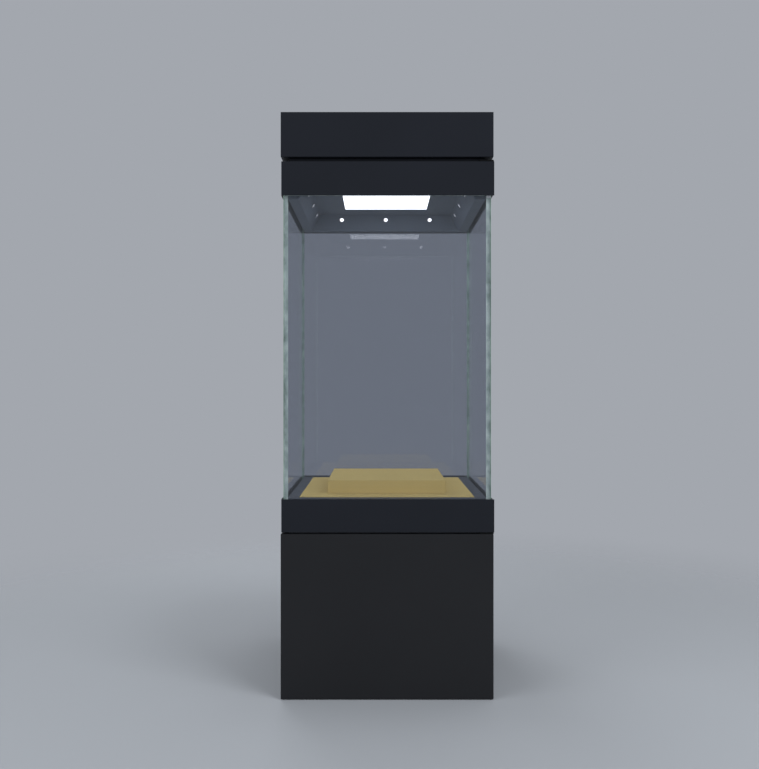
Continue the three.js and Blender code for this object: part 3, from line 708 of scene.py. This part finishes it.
def makeSideBand(name, side, low, high, deepLevel):
    half = case["half"]
    outer, inner = side * half, side * (half - bands["reach"])
    band = startBox(
        name,
        (min(outer, inner), case["front"], low),
        (max(outer, inner), half, high),
    )
    shape(band)
    choose(band, "FACE", lambda c, n: along(n.x, -side) or along(n.y))
    bpy.ops.mesh.delete(type="FACE")
    choose(
        band,
        "EDGE",
        lambda c, d: near(c.x, inner) and near(c.z, deepLevel) and along(d.y, 0),
    )
    extrudeEdges(-side * (bands["deepReach"] - bands["reach"]), 0, 0)
    for reach in (bands["reach"], bands["deepReach"]):  # mitres at the rear corner
        choose(
            band,
            "VERT",
            lambda p, n: near(abs(outer - p.x), reach) and near(p.y, half),
        )
        move(0, -reach, 0)
    pointOutwards(band)
    foldSheet(band, bands)
    return band


def makeBackBand(name, low, high, deepLevel):
    half, reach = case["half"], bands["reach"]
    inner = half - reach
    start = half - bands["sheet"] - case["gap"]
    band = startBox(name, (-start, inner, low), (start, half, high))
    shape(band)
    choose(band, "FACE", lambda c, n: along(n.y, -1) or along(n.x, 0))
    bpy.ops.mesh.delete(type="FACE")
    choose(
        band,
        "EDGE",
        lambda c, d: near(c.y, inner) and near(c.z, deepLevel) and along(d.x, 0),
    )
    extrudeEdges(0, reach - bands["deepReach"], 0)
    for side in (-1, 1):
        for depth in (reach, bands["deepReach"]):
            choose(
                band,
                "VERT",
                lambda p, n: near(p.x, side * start) and near(half - p.y, depth),
            )
            move(-side * (depth - bands["sheet"]), 0, 0)
    pointOutwards(band)
    foldSheet(band, bands)
    return band


def makeBands():
    for kind, (low, high, deepLevel, lockLevel) in bands["levels"].items():
        for hand, side in (("Left", -1), ("Right", 1)):
            band = makeSideBand(kind + hand, side, low, high, deepLevel)
            if side < 0:
                place = (-case["half"], bands["lockY"], lockLevel)
                hole = bore(
                    place, (1, 0, 0), bands["lockHole"], bands["holeRun"], sides=40
                )
                drill(band, hole)
            dress(band, "case", canopyCoat, kind + "_" + hand.lower())
        band = makeBackBand(kind + "Back", low, high, deepLevel)
        dress(band, "case", canopyCoat, kind + "_back")


makeBands()
print("bands done")


# each rail is (outer end, where the glass starts, inner end, the lock's height, node)
door = {
    "left": -397.5,
    "right": 402.5,
    "front": -400,
    "glassFront": -392.3,
    "back": -380,
    "skin": 2.5,
    "block": 45,
    "edge": 0.7,
    "rails": {
        "doorCollar": (630, 689.7, 753, 665, "door_collar"),
        "doorFascia": (2023, 1959.3, 1896, 1988, "door_fascia"),
    },
    "pivot": (395.5, -393),
    "pivotHole": 4.3,
    "pivotRun": (-3, 24),
    "pocketOver": 2,
    "sealInner": 381,
    "sealLip": 7,
    "sealEdge": 0.5,
}
lug = {
    "outer": -389.5,
    "inner": -378.5,
    "arm": 3,
    "front": -342,
    "rear": -338,
    "rise": 7,
    "height": 14,
    "sunk": 0.5,
    "edge": 0.5,
}
clamp = {
    "low": (374, -395.3, 1885.5),
    "high": (390, -392.3, 1914),
    "edge": 0.7,
    "screw": (382, -395.3, 1890.7),
    "recess": [(3.2, -1), (3.2, 0.5)],
    "head": [(2.2, 0.1), (2.7, 0.5), (2.7, 1)],
    "slotLow": (-3, -1, -0.35),
    "slotHigh": (3, 0.45, 0.35),
}


def makeLug(level):
    low = level + lug["rise"]
    side = lug["inner"] - lug["arm"]
    arm = startBox(
        "lug",
        (side, door["back"] - lug["sunk"], low),
        (lug["inner"], lug["rear"], low + lug["height"]),
    )
    shape(arm)
    bpy.ops.mesh.select_all(action="SELECT")
    bisect((0, lug["front"], 0), (0, 1, 0))
    choose(arm, "FACE", lambda c, n: along(n.x, -1) and c.y > lug["front"])
    extrude(lug["outer"] - side, 0, 0)
    clearSelection()
    roundEdges(arm, lug["edge"], segments=2)
    return arm


def makeRail(name, outerEnd, glassEdge, innerEnd, lockLevel):
    up = 1 if innerEnd > outerEnd else -1
    skin, block = door["skin"], door["block"]
    rail = startBox(
        name,
        (door["left"], door["front"], min(outerEnd, glassEdge)),
        (door["right"], door["back"], max(outerEnd, glassEdge)),
    )
    shape(rail)
    bpy.ops.mesh.select_all(action="SELECT")
    bisect((0, door["glassFront"], 0), (0, 1, 0))
    choose(rail, "FACE", lambda c, n: along(n.z, up) and c.y < door["glassFront"])
    extrude(0, 0, innerEnd - glassEdge)  # the plate in front of the glass
    cuts = [
        ((door["left"] + block, 0, 0), (1, 0, 0)),
        ((door["right"] - block, 0, 0), (1, 0, 0)),
        ((0, 0, outerEnd + up * skin), (0, 0, 1)),
        ((0, 0, glassEdge - up * skin), (0, 0, 1)),
    ]
    for point, normal in cuts:
        choose(rail, "FACE", lambda c, n: along(n.y) and near(c.y, door["back"]))
        bisect(point, normal)
    middle = Vector(
        ((door["left"] + door["right"]) / 2, door["back"], (outerEnd + glassEdge) / 2)
    )
    choose(rail, "FACE", lambda c, n: near((c - middle).length, 0))
    extrude(0, door["front"] + skin - door["back"], 0)  # hollowed from behind
    clearSelection()
    place = (*door["pivot"], outerEnd)
    hole = bore(place, (0, 0, up), door["pivotHole"], door["pivotRun"], sides=24)
    drill(rail, hole)
    if up < 0:
        (x0, y0, _), (x1, y1, z1) = clamp["low"], clamp["high"]
        gap, over = case["gap"], door["pocketOver"]
        pocket = startBox(
            "pocket", (x0 - gap, y0 - gap, innerEnd - over), (x1 + gap, y1 + over, z1 + gap)
        )
        drill(rail, pocket)
    roundEdges(rail, door["edge"], segments=2, angle=limits["fitting"])
    joinTo(rail, makeLug(lockLevel))
    return rail


def makeClamp():
    plate = startBox("cornerClamp", clamp["low"], clamp["high"])
    roundEdges(plate, clamp["edge"])
    at = Vector(clamp["screw"])
    drill(plate, turned("recess", at, (0, 1, 0), clamp["recess"], sides=32))
    screw = turned("screw", at, (0, 1, 0), clamp["head"], sides=32)
    slot = startBox("slot", at + Vector(clamp["slotLow"]), at + Vector(clamp["slotHigh"]))
    drill(screw, slot)
    joinTo(plate, screw)
    dress(plate, "door", satinSteel, "door_corner_clamp")


def makeSeal():
    seal = cleanCopy("doorSeal", "door_seal")
    shape(seal)
    for side in (-1, 1):  # its upright strips carry a lip towards the middle
        choose(
            seal,
            "VERT",
            lambda p, n: near(p.x, side * door["sealInner"]),
        )
        move(-side * door["sealLip"], 0, 0)
    clearSelection()
    roundEdges(seal, door["sealEdge"], segments=2)
    dress(seal, "door", clearSilicone, "door_seal")


def makeDoor():
    for name, (*levels, node) in door["rails"].items():
        dress(makeRail(name, *levels), "door", canopyCoat, node)
    makeClamp()
    makeSeal()


makeDoor()
print("door done")


panes = {
    "thick": 12,
    "edge": 1.0,
    "places": {
        "doorPane": ((-388.5, -392, 690), (391.5, -380, 1959), "door", "door_glass"),
        "backPane": ((-392, 380, 698.3), (392, 392, 1950), "case", "glass_back"),
        "leftPane": (
            (-392, case["front"], 698.3), (-380, 379.7, 1950), "case", "glass_left"
        ),
        "rightPane": (
            (380, case["front"], 698.3), (392, 379.7, 1950), "case", "glass_right"
        ),
    },
}


def makePanes():
    # thick panes with a polished arris, their edges a finish of their own
    for name, (low, high, body, node) in panes["places"].items():
        pane = startBox(name, low, high)
        thin = 0 if near(high[0] - low[0], panes["thick"]) else 1
        roundEdges(pane, panes["edge"], segments=1)
        pane.data.materials.append(paneGlass.owner)
        pane.data.materials.append(paneEdge.owner)
        paintFaces(pane, 1, lambda c, n: not along(n[thin], 0))
        attach(pane, body, node)


makePanes()
print("glass done")


margin = {
    "low": 737.3,
    "high": 753,
    "outer": 379.5,
    "inner": 335.3,
    "edge": 0.8,
    "railEdge": 0.9,
}
board = {
    "half": 335,
    "low": 737.3,
    "high": 755,
    "edge": 1.6,
    "hem": 40,
    "hemDepth": 0.6,
}
riser = {
    "half": 233,
    "low": 755.3,
    "high": 806,
    "edge": 2.4,
    "tuck": 15,
    "tuckProud": 0.5,
}


def makeMargins():
    outer, inner = margin["outer"], margin["inner"]
    front, gap = case["front"], case["gap"]
    far, close = outer - gap, inner - gap
    strips = {
        "Front": ((-far, front), (far, -inner), 1, -inner, (-far, far)),
        "Back": ((-far, inner), (far, outer), 1, inner, (-far, far)),
        "Left": ((-outer, front + gap), (-inner, far), 0, -inner, (front + gap, far)),
        "Right": ((inner, front + gap), (outer, far), 0, inner, (front + gap, far)),
    }
    for place, (low, high, axis, level, ends) in strips.items():
        strip = startBox(
            "margin" + place, (*low, margin["low"]), (*high, margin["high"])
        )
        shape(strip)
        run = 1 - axis
        for end in ends:  # the mitres
            choose(
                strip,
                "VERT",
                lambda p, n: near(p[axis], level) and near(p[run], end),
            )
            shift = math.copysign(close, end) - end
            move(*((shift, 0, 0) if run == 0 else (0, shift, 0)))
        clearSelection()
        roundEdges(strip, margin["edge"])
        dress(strip, "case", deckCoat, "deck_margin_" + place.lower())
    rail = cleanCopy("rearRail", "rear_glass_rail", margin["railEdge"])
    dress(rail, "case", deckCoat, "rear_glass_rail")


def wrapInCloth(piece, body, node, edge):
    roundEdges(piece, edge, segments=4)
    shape(piece)
    bpy.ops.mesh.select_all(action="SELECT")
    bpy.ops.uv.cube_project(cube_size=cloth["unit"] * mm)
    clearSelection()
    dress(piece, body, tanCloth, node)


def startSlab(name, sizes):
    half = sizes["half"]
    return startBox(name, (-half, -half, sizes["low"]), (half, half, sizes["high"]))


def makeBoard():
    panel = startSlab("displayBoard", board)
    shape(panel)
    choose(panel, "FACE", lambda c, n: along(n.z, -1))
    bpy.ops.mesh.inset(thickness=board["hem"] * mm)  # the turned-in cloth ends here
    extrude(0, 0, board["hemDepth"])
    clearSelection()
    wrapInCloth(panel, "board", "display_board", board["edge"])


def makeRiser():
    block = startSlab("riserBlock", riser)
    lap = riser["half"] - riser["tuck"]
    shape(block)
    for side in (-1, 1):  # the cloth laps over itself at each upright edge
        choose(block, "FACE", lambda c, n: along(n.x, 0))
        bisect((0, side * lap, 0), (0, 1, 0))
    choose(block, "FACE", lambda c, n: along(n.x, 0) and abs(c.y) > lap)
    bpy.ops.mesh.extrude_region_shrink_fatten(
        TRANSFORM_OT_shrink_fatten={"value": riser["tuckProud"] * mm}
    )
    clearSelection()
    wrapInCloth(block, "riser", "riser_block", riser["edge"])


makeMargins()
makeBoard()
makeRiser()
paintNode("deck_base", deckCoat)
print("deck done")


coffer = {
    **steel,
    "fold": 2.2,
    "half": 379.5,
    "foot": 339,
    "top": 296,
    "window": 180,
    "low": 1896,
    "rise": 66,
    "skirt": 54,
    "step": 18,
}
spot = {
    "pitch": 202,
    "rise": 46,
    "lens": 8.5,
    "trim": 11.5,
    "barrel": 9.5,
    "length": 28,
    "face": 1.5,
    "recess": 3.6,
    "lip": 0.15,
    "trimEdge": 0.6,
    "trimCorner": 0.17,
    "endChamfer": 1,
    "dome": ((1.5, 0.2), (2.5, 0.2), (2.5, 0.1)),  # inset and rise of each ring
    "domeSlope": 0.8,
    "hole": 9.8,
    "holeRun": (-8, 8),
}
lighting = {
    "panelLow": (-190, -190, 1964.3),
    "panelHigh": (190, 190, 1967.3),
    "panelEdge": 0.6,
    "boxEdge": 0.8,
}


def spotPlaces():
    # each seat's matrix; the light leaves along its Z
    run = coffer["foot"] - coffer["top"]
    tilt = math.atan2(coffer["rise"], run)
    out = coffer["foot"] - run * spot["rise"] / coffer["rise"]
    for slope, turn in (("rear", 0), ("left", 90), ("front", 180), ("right", -90)):
        for i in range(3):
            seat = Vector(((i - 1) * spot["pitch"], out, coffer["low"] + spot["rise"]))
            yield f"{slope}_{i + 1}", (
                Matrix.Rotation(math.radians(turn), 4, "Z")
                @ Matrix.Translation(seat * mm)
                @ Matrix.Rotation(math.pi - tilt, 4, "X")
            )


def stepFrontUp(tray):
    # behind the door the border sits higher, so that it clears the door and its seal
    foot, step, low = coffer["foot"], coffer["step"], coffer["low"]
    back = foot - (foot - coffer["top"]) * step / coffer["rise"]
    bpy.ops.mesh.select_all(action="SELECT")
    bisect((0, -back, 0), (0, 1, 0))
    choose(tray, "FACE", lambda c, n: c.y < -back)
    bpy.ops.mesh.delete(type="FACE")
    choose(tray, "EDGE", lambda c, d: near(c.z, low + step) and near(c.y, -back))
    extrudeEdges(0, case["front"] + back, 0)
    for side in (-1, 1):
        choose(
            tray,
            "EDGE",
            lambda c, d: near(c.x, side * back) and along(d.y, 0) and c.y < -back,
        )
        extrudeEdges(side * (coffer["half"] - back), 0, 0)
        choose(
            tray,
            "EDGE",
            lambda c, d: near(c.y, -back)
            and c.x * side > back - limits["near"]
            and c.z <= low + step,
        )
        bpy.ops.mesh.edge_face_add()


def makeCoffer():
    half = coffer["half"]
    tray = startSheet("ceilingCoffer", half, coffer["low"])
    bpy.ops.mesh.inset(thickness=(half - coffer["foot"]) * mm)
    extrude(0, 0, coffer["rise"])
    shrink = coffer["top"] / coffer["foot"]
    level = (0, 0, (coffer["low"] + coffer["rise"]) * mm)
    bpy.ops.transform.resize(value=(shrink, shrink, 1), center_override=level)
    bpy.ops.mesh.inset(thickness=(coffer["top"] - coffer["window"]) * mm)
    bpy.ops.mesh.delete(type="FACE")
    stepFrontUp(tray)
    choose(
        tray,
        "EDGE",
        lambda c, d: near(c.z, coffer["low"]) and near(max(abs(c.x), c.y), half),
    )
    extrudeEdges(0, 0, coffer["skirt"])
    pointOutwards(tray)
    foldSheet(tray, coffer)
    holes = []
    for _, place in spotPlaces():
        hole = bore((0, 0, 0), (0, 0, 1), spot["hole"], spot["holeRun"], sides=32)
        hole.matrix_world = place
        pick(hole)
        holes.append(named("hole"))
    joinTo(*holes)
    drill(tray, holes[0])
    dress(tray, "case", ceilingCoat, "ceiling_coffer")


def makeSpots():
    lens, trim, barrel = spot["lens"], spot["trim"], spot["barrel"]
    # the seat is at zero; the rings run from the lens over the trim to the far end
    front, seat, end = -spot["face"], -case["gap"], spot["length"]
    glass = front + spot["recess"]
    lip, edge, corner = spot["lip"], spot["trimEdge"], spot["trimCorner"]
    chamfer = spot["endChamfer"]
    rings = [
        (lens, glass),
        (lens, front + lip),
        (lens + lip, front),
        (trim - edge, front),
        (trim - corner, front + corner),
        (trim, front + edge),
        (trim, seat),
        (barrel, seat),
        (barrel, end - chamfer),
        (barrel - chamfer, end),
    ]
    master = turned("spot", (0, 0, 0), (0, 0, -1), rings, sides=48)
    shape(master)
    choose(master, "FACE", lambda c, n: near((c + Vector((0, 0, glass))).length, 0))
    for inset, rise in spot["dome"]:
        bpy.ops.mesh.inset(thickness=inset * mm, depth=rise * mm)
    clearSelection()
    master.data.materials.append(spotTrim.owner)
    master.data.materials.append(spotLens.owner)
    paintFaces(
        master,
        1,
        lambda c, n: n.z > spot["domeSlope"] and c.xy.length < lens and c.z < -front - lip,
    )
    for name, place in spotPlaces():
        pick(master)
        bpy.ops.object.duplicate()
        bpy.context.object.matrix_world = place
        copy = named("spot_" + name)
        smooth(copy)
        attach(copy, "case", "spotlight_" + name)
    bpy.data.objects.remove(master)


def makeLighting():
    panel = startBox("lightPanel", lighting["panelLow"], lighting["panelHigh"])
    roundEdges(panel, lighting["panelEdge"], segments=2)
    dress(panel, "case", opalLight, "light_diffuser")
    edge = lighting["boxEdge"]
    dress(cleanCopy("lightBox", "light_box", edge), "case", whiteHousing, "light_box")
    dress(cleanCopy("ledDriver", "led_driver", edge), "case", whiteHousing, "led_driver")
    dress(cleanCopy("powerLead", "power_lead"), "case", cableJacket, "power_lead")


makeCoffer()
makeSpots()
makeLighting()
print("ceiling done")


hood = {
    **steel,
    "low": 2040,
    "high": 2208,
    "flange": 55,
    "ledge": 2192,
    "ledgeReach": 38,
    "lugFrom": (389, 376.5, 2190),
    "lugTo": (395, 390.5, 2207.1),
    "lugCorner": 3,
    "lugHole": 2.8,
    "holeRun": (-6, 6),
    "openingRun": (-6, 4),
    "frameEdge": 0.5,
}
lid = {
    **steel,
    "low": (-386, -374, 2192.6),
    "high": (386, 386, 2204.6),
    "pin": (383.5, 2202.1),
    "pinRadius": 2.5,
    "pinRun": (377, 394.7),
    "pinChamfer": 0.6,
}
inlet = {
    "x": 250,
    "z": 2105,
    "width": 27,
    "height": 19,
    "lip": 2,
    "front": 402.3,
    "seat": 400.3,
    "depth": 22,
    "wall": 1.8,
    "socket": 15,
    "corner": 2.4,
    "edge": 0.35,
    "contacts": ((-7, -1.8), (0, 1.8), (7, -1.8)),
    "contactFrom": (-1, -1, -2),
    "contactTo": (1, 12, 2),
    "contactInset": 0.4,
    "contactRise": 0.5,
}


def makeLedge():
    # what the lid lies on
    ledge = startSheet("ledge", case["half"] - hood["sheet"], hood["ledge"])
    bpy.ops.mesh.inset(thickness=hood["ledgeReach"] * mm)
    bpy.ops.mesh.delete(type="FACE")
    clearSelection()
    modify(ledge, "SOLIDIFY", thickness=hood["sheet"] * mm, offset=-1)
    return ledge


def makeLidLug(side):
    # what the lid's pins turn in
    (x0, *low), (x1, *high) = hood["lugFrom"], hood["lugTo"]
    first, last = sorted((side * x0, side * x1))
    lidLug = startBox("lug", (first, *low), (last, *high))
    shape(lidLug)
    choose(lidLug, "EDGE", lambda c, d: along(d.x, 0) and near(c.z, high[1]))
    bpy.ops.mesh.bevel(offset=hood["lugCorner"] * mm, segments=4)
    clearSelection()
    place = (side * (x0 + x1) / 2, *lid["pin"])
    drill(lidLug, bore(place, (1, 0, 0), hood["lugHole"], hood["holeRun"], sides=24))
    return lidLug


def makeHood():
    half = case["half"]
    shell = startBox("hoodShell", (-half, -half, hood["low"]), (half, half, hood["high"]))
    shape(shell)
    choose(shell, "FACE", lambda c, n: along(n.z))
    bpy.ops.mesh.delete(type="ONLY_FACE")
    choose(shell, "FACE", lambda c, n: along(n.z, -1))
    bpy.ops.mesh.inset(thickness=hood["flange"] * mm)
    bpy.ops.mesh.delete(type="FACE")
    foldSheet(shell, hood)
    x, z = inlet["x"], inlet["z"]
    wide = inlet["width"] / 2 + case["gap"]
    tall = inlet["height"] / 2 + case["gap"]
    inside, outside = (half + reach for reach in hood["openingRun"])
    opening = startBox(
        "opening", (x - wide, inside, z - tall), (x + wide, outside, z + tall)
    )
    drill(shell, opening)
    joinTo(shell, makeLedge(), makeLidLug(-1), makeLidLug(1))
    dress(shell, "case", canopyCoat, "hood_shell")


def makeLid():
    cover = startBox("atticLid", lid["low"], lid["high"])
    shape(cover)
    choose(cover, "FACE", lambda c, n: along(n.z, -1))
    bpy.ops.mesh.delete(type="ONLY_FACE")
    foldSheet(cover, lid)
    shank = lid["pinRadius"], lid["pinRun"], lid["pinChamfer"]
    for side in (-1, 1):
        joinTo(cover, pin((0, *lid["pin"]), (side, 0, 0), *shank, sides=24))
    dress(cover, "lid", canopyCoat, "attic_lid")


def makeInlet():
    x, z = inlet["x"], inlet["z"]
    wide, tall, lip = inlet["width"] / 2, inlet["height"] / 2, inlet["lip"]
    body = startBox(
        "powerInlet",
        (x - wide - lip, inlet["seat"], z - tall - lip),
        (x + wide + lip, inlet["front"], z + tall + lip),
    )
    shape(body)
    choose(body, "EDGE", lambda c, d: along(d.y, 0))
    bpy.ops.mesh.bevel(offset=inlet["corner"] * mm, segments=5)
    choose(body, "FACE", lambda c, n: along(n.y, -1))
    bpy.ops.mesh.inset(thickness=lip * mm)
    extrude(0, inlet["front"] - lip - inlet["depth"] - inlet["seat"], 0)
    choose(body, "FACE", lambda c, n: along(n.y) and near(c.y, inlet["front"]))
    bpy.ops.mesh.inset(thickness=(lip + inlet["wall"]) * mm)
    extrude(0, -inlet["socket"], 0)
    clearSelection()
    roundEdges(body, inlet["edge"], segments=2, angle=limits["fitting"])
    body.data.materials.append(blackPlastic.owner)
    for across, up in inlet["contacts"]:
        foot = Vector((x + across, inlet["front"] - inlet["socket"], z + up))
        low, high = (foot + Vector(inlet[end]) for end in ("contactFrom", "contactTo"))
        contact = startBox("contact", low, high)
        shape(contact)
        choose(contact, "FACE", lambda c, n: along(n.y))
        bpy.ops.mesh.inset(
            thickness=inlet["contactInset"] * mm, depth=inlet["contactRise"] * mm
        )
        clearSelection()
        contact.data.materials.append(satinSteel.owner)
        joinTo(body, contact)
    smooth(body)
    attach(body, "case", "power_inlet")


def makeNeck():
    neck = cleanCopy("atticFrame", "attic_frame", hood["frameEdge"])
    dress(neck, "case", canopyCoat, "attic_frame")


makeHood()
makeLid()
makeInlet()
makeNeck()
print("canopy done")


lock = {
    "y": -350,
    "face": -401.5,
    "rim": 11.5,
    "barrel": 9.5,
    "spindle": 5,
    "dish": (2.4, 0.35),  # its width from the rim, and its depth
    "rimFlat": 2.0,
    "rimRound": (0.5, 0.12),
    "rimDepth": 1.2,
    "barrelEnd": 8.5,
    "spindleEnd": 17,
    "slotFrom": (-2, -1, -4),
    "slotTo": (1.3, 1, 4),
    "camFrom": (-387.5, -370, -5),
    "camTo": (-384.5, -350, 5),
    "camEnd": 4.9,
    "camEdge": 0.3,
    "levels": {"lower": 665, "upper": 1988},
}
pivot = {
    "plate": ((345.5, -399), (401.5, -372.3)),
    "thickness": 6,
    "at": (395.5, -393),
    "pin": 4,
    "pinRun": (-1, 22),
    "pinChamfer": 0.8,
    "corner": 5,
    "edge": 0.6,
    "levels": {"lower": (623.5, 1), "upper": (2023.5, -1)},
}


def makeLocks():
    level = lock["levels"]["lower"]
    rim, barrel, spindle = lock["rim"], lock["barrel"], lock["spindle"]
    rounding, corner = lock["rimRound"]
    rings = [
        (rim - lock["dish"][0], lock["dish"][1]),
        (rim - lock["rimFlat"], 0),
        (rim - rounding, 0),
        (rim - corner, corner),
        (rim, rounding),
        (rim, lock["rimDepth"]),
        (barrel, lock["rimDepth"]),
        (barrel, lock["barrelEnd"]),
        (spindle, lock["barrelEnd"]),
        (spindle, lock["spindleEnd"]),
    ]
    at = Vector((lock["face"], lock["y"], level))
    body = turned("lock", at, (1, 0, 0), rings, sides=56)
    slot = startBox("slot", at + Vector(lock["slotFrom"]), at + Vector(lock["slotTo"]))
    drill(body, slot)  # for the key
    lift = Vector((0, 0, level))
    low, high = Vector(lock["camFrom"]) + lift, Vector(lock["camTo"]) + lift
    cam = startBox("cam", low, high)
    shape(cam)
    choose(cam, "EDGE", lambda c, d: along(d.x, 0) and near(c.y, low.y))
    bpy.ops.mesh.bevel(offset=lock["camEnd"] * mm, segments=8)
    clearSelection()
    roundEdges(cam, lock["camEdge"], segments=2, angle=limits["fitting"])
    joinTo(body, cam)
    pick(body)
    bpy.ops.object.duplicate()
    bpy.context.object.location.z = (lock["levels"]["upper"] - level) * mm
    second = named("upperLock")
    body.name = body.data.name = "lowerLock"
    dress(body, "lower_lock", satinSteel, "door_lock_lower")
    dress(second, "upper_lock", satinSteel, "door_lock_upper")


def makePivots():
    for place, (low, way) in pivot["levels"].items():
        high = low + pivot["thickness"]
        (x0, y0), (x1, y1) = pivot["plate"]
        plate = startBox("pivot" + place.title(), (x0, y0, low), (x1, y1, high))
        shape(plate)
        choose(plate, "EDGE", lambda c, d: along(d.z, 0) and near(c.y, y0))
        bpy.ops.mesh.bevel(offset=pivot["corner"] * mm, segments=5)
        clearSelection()
        roundEdges(plate, pivot["edge"], segments=2)
        foot = (*pivot["at"], high if way > 0 else low)
        shank = pivot["pin"], pivot["pinRun"], pivot["pinChamfer"]
        joinTo(plate, pin(foot, (0, 0, way), *shank, sides=32))
        # the brackets take the near-black painted shade of the joint
        dress(plate, "case", pivotCoat, "pivot_bracket_" + place)


makeLocks()
makePivots()
print("locks and pivots done")


# in metres; each lamp is (place, size, watts)
studio = {
    "backdrop": (163, 167, 174),
    "floor": (171, 176, 183),
    "floorRadius": 7.0,
    "fade": (1.5, 3.6),  # the floor turns into the backdrop between these radii
    "floorRoughness": 0.8,
    "floorGloss": 0.15,
    "air": ((0.98, 0.99, 1.0, 1), 0.5),  # light from all round
    "lamps": {
        "key": ((2.9, -3.1, 3.3), 2.4, 110),
        "fill": ((-3.2, -2.6, 2.2), 2.6, 42),
        "rear": ((-1.4, 3.4, 3.0), 2.2, 50),
    },
    "target": (0, 0, 1.1),
    "eye": (-0.0286, -3.542, 1.185),
    "sensor": 36,
    "lens": 39.18,
}


def makeFloor():
    clearSelection()
    bpy.ops.mesh.primitive_circle_add(
        vertices=96, radius=studio["floorRadius"], fill_type="TRIFAN"
    )
    ground = named("floor")
    paper = newFinish("floorPaper")
    where = paper.onObject()
    distance = paper.add(
        "ShaderNodeVectorMath", {"operation": "LENGTH"}, {"Vector": where}, "Value"
    )
    start, end = studio["fade"]
    reach = {"Value": distance, "From Min": start, "From Max": end}
    fade = paper.add("ShaderNodeMapRange", {"interpolation_type": "SMOOTHSTEP"}, reach)
    sheet = paper.surface(
        Base_Color=colour(*studio["floor"]),
        Roughness=studio["floorRoughness"],
        Specular_IOR_Level=studio["floorGloss"],
    )
    gone = paper.add("ShaderNodeBsdfTransparent")
    paper.close(paper.mixShaders(fade, sheet, gone))
    ground.data.materials.append(paper.owner)


def makeAir():
    # a plain backdrop where the camera or a mirror sees it, soft light elsewhere
    world = bpy.data.worlds.new("studio")
    bpy.context.scene.world = world
    air = Finish(world)
    path = air.add("ShaderNodeLightPath", output="Is Camera Ray")
    mirrored = path.twin("Is Glossy Ray").maths("MAXIMUM", path.twin("Is Transmission Ray"))
    seen = path.maths("MAXIMUM", mirrored)
    shade, strength = studio["air"]
    light = air.add("ShaderNodeBackground", None, {"Color": shade, "Strength": strength})
    backdrop = air.add(
        "ShaderNodeBackground",
        None,
        {"Color": colour(*studio["backdrop"]), "Strength": 1.0},
    )
    air.close(air.mixShaders(seen, light, backdrop), "ShaderNodeOutputWorld")


def makeLamps():
    for name, (place, size, power) in studio["lamps"].items():
        aim = (Vector(studio["target"]) - Vector(place)).to_track_quat("-Z", "Y")
        clearSelection()
        bpy.ops.object.light_add(type="AREA", location=place, rotation=aim.to_euler())
        lamp = bpy.context.object
        lamp.name = name
        lamp.data.size = size
        lamp.data.energy = power
        lamp.visible_camera = False
        lamp.visible_glossy = False  # no lamp mirrored in the panes


def makeCamera():
    clearSelection()
    level = (math.radians(90), 0, 0)
    bpy.ops.object.camera_add(location=studio["eye"], rotation=level)
    eye = bpy.context.object
    eye.data.sensor_width = studio["sensor"]
    eye.data.lens = studio["lens"]
    bpy.context.scene.camera = eye


makeFloor()
makeAir()
makeLamps()
makeCamera()
bpy.context.scene.view_settings.view_transform = "Standard"
print("studio done")
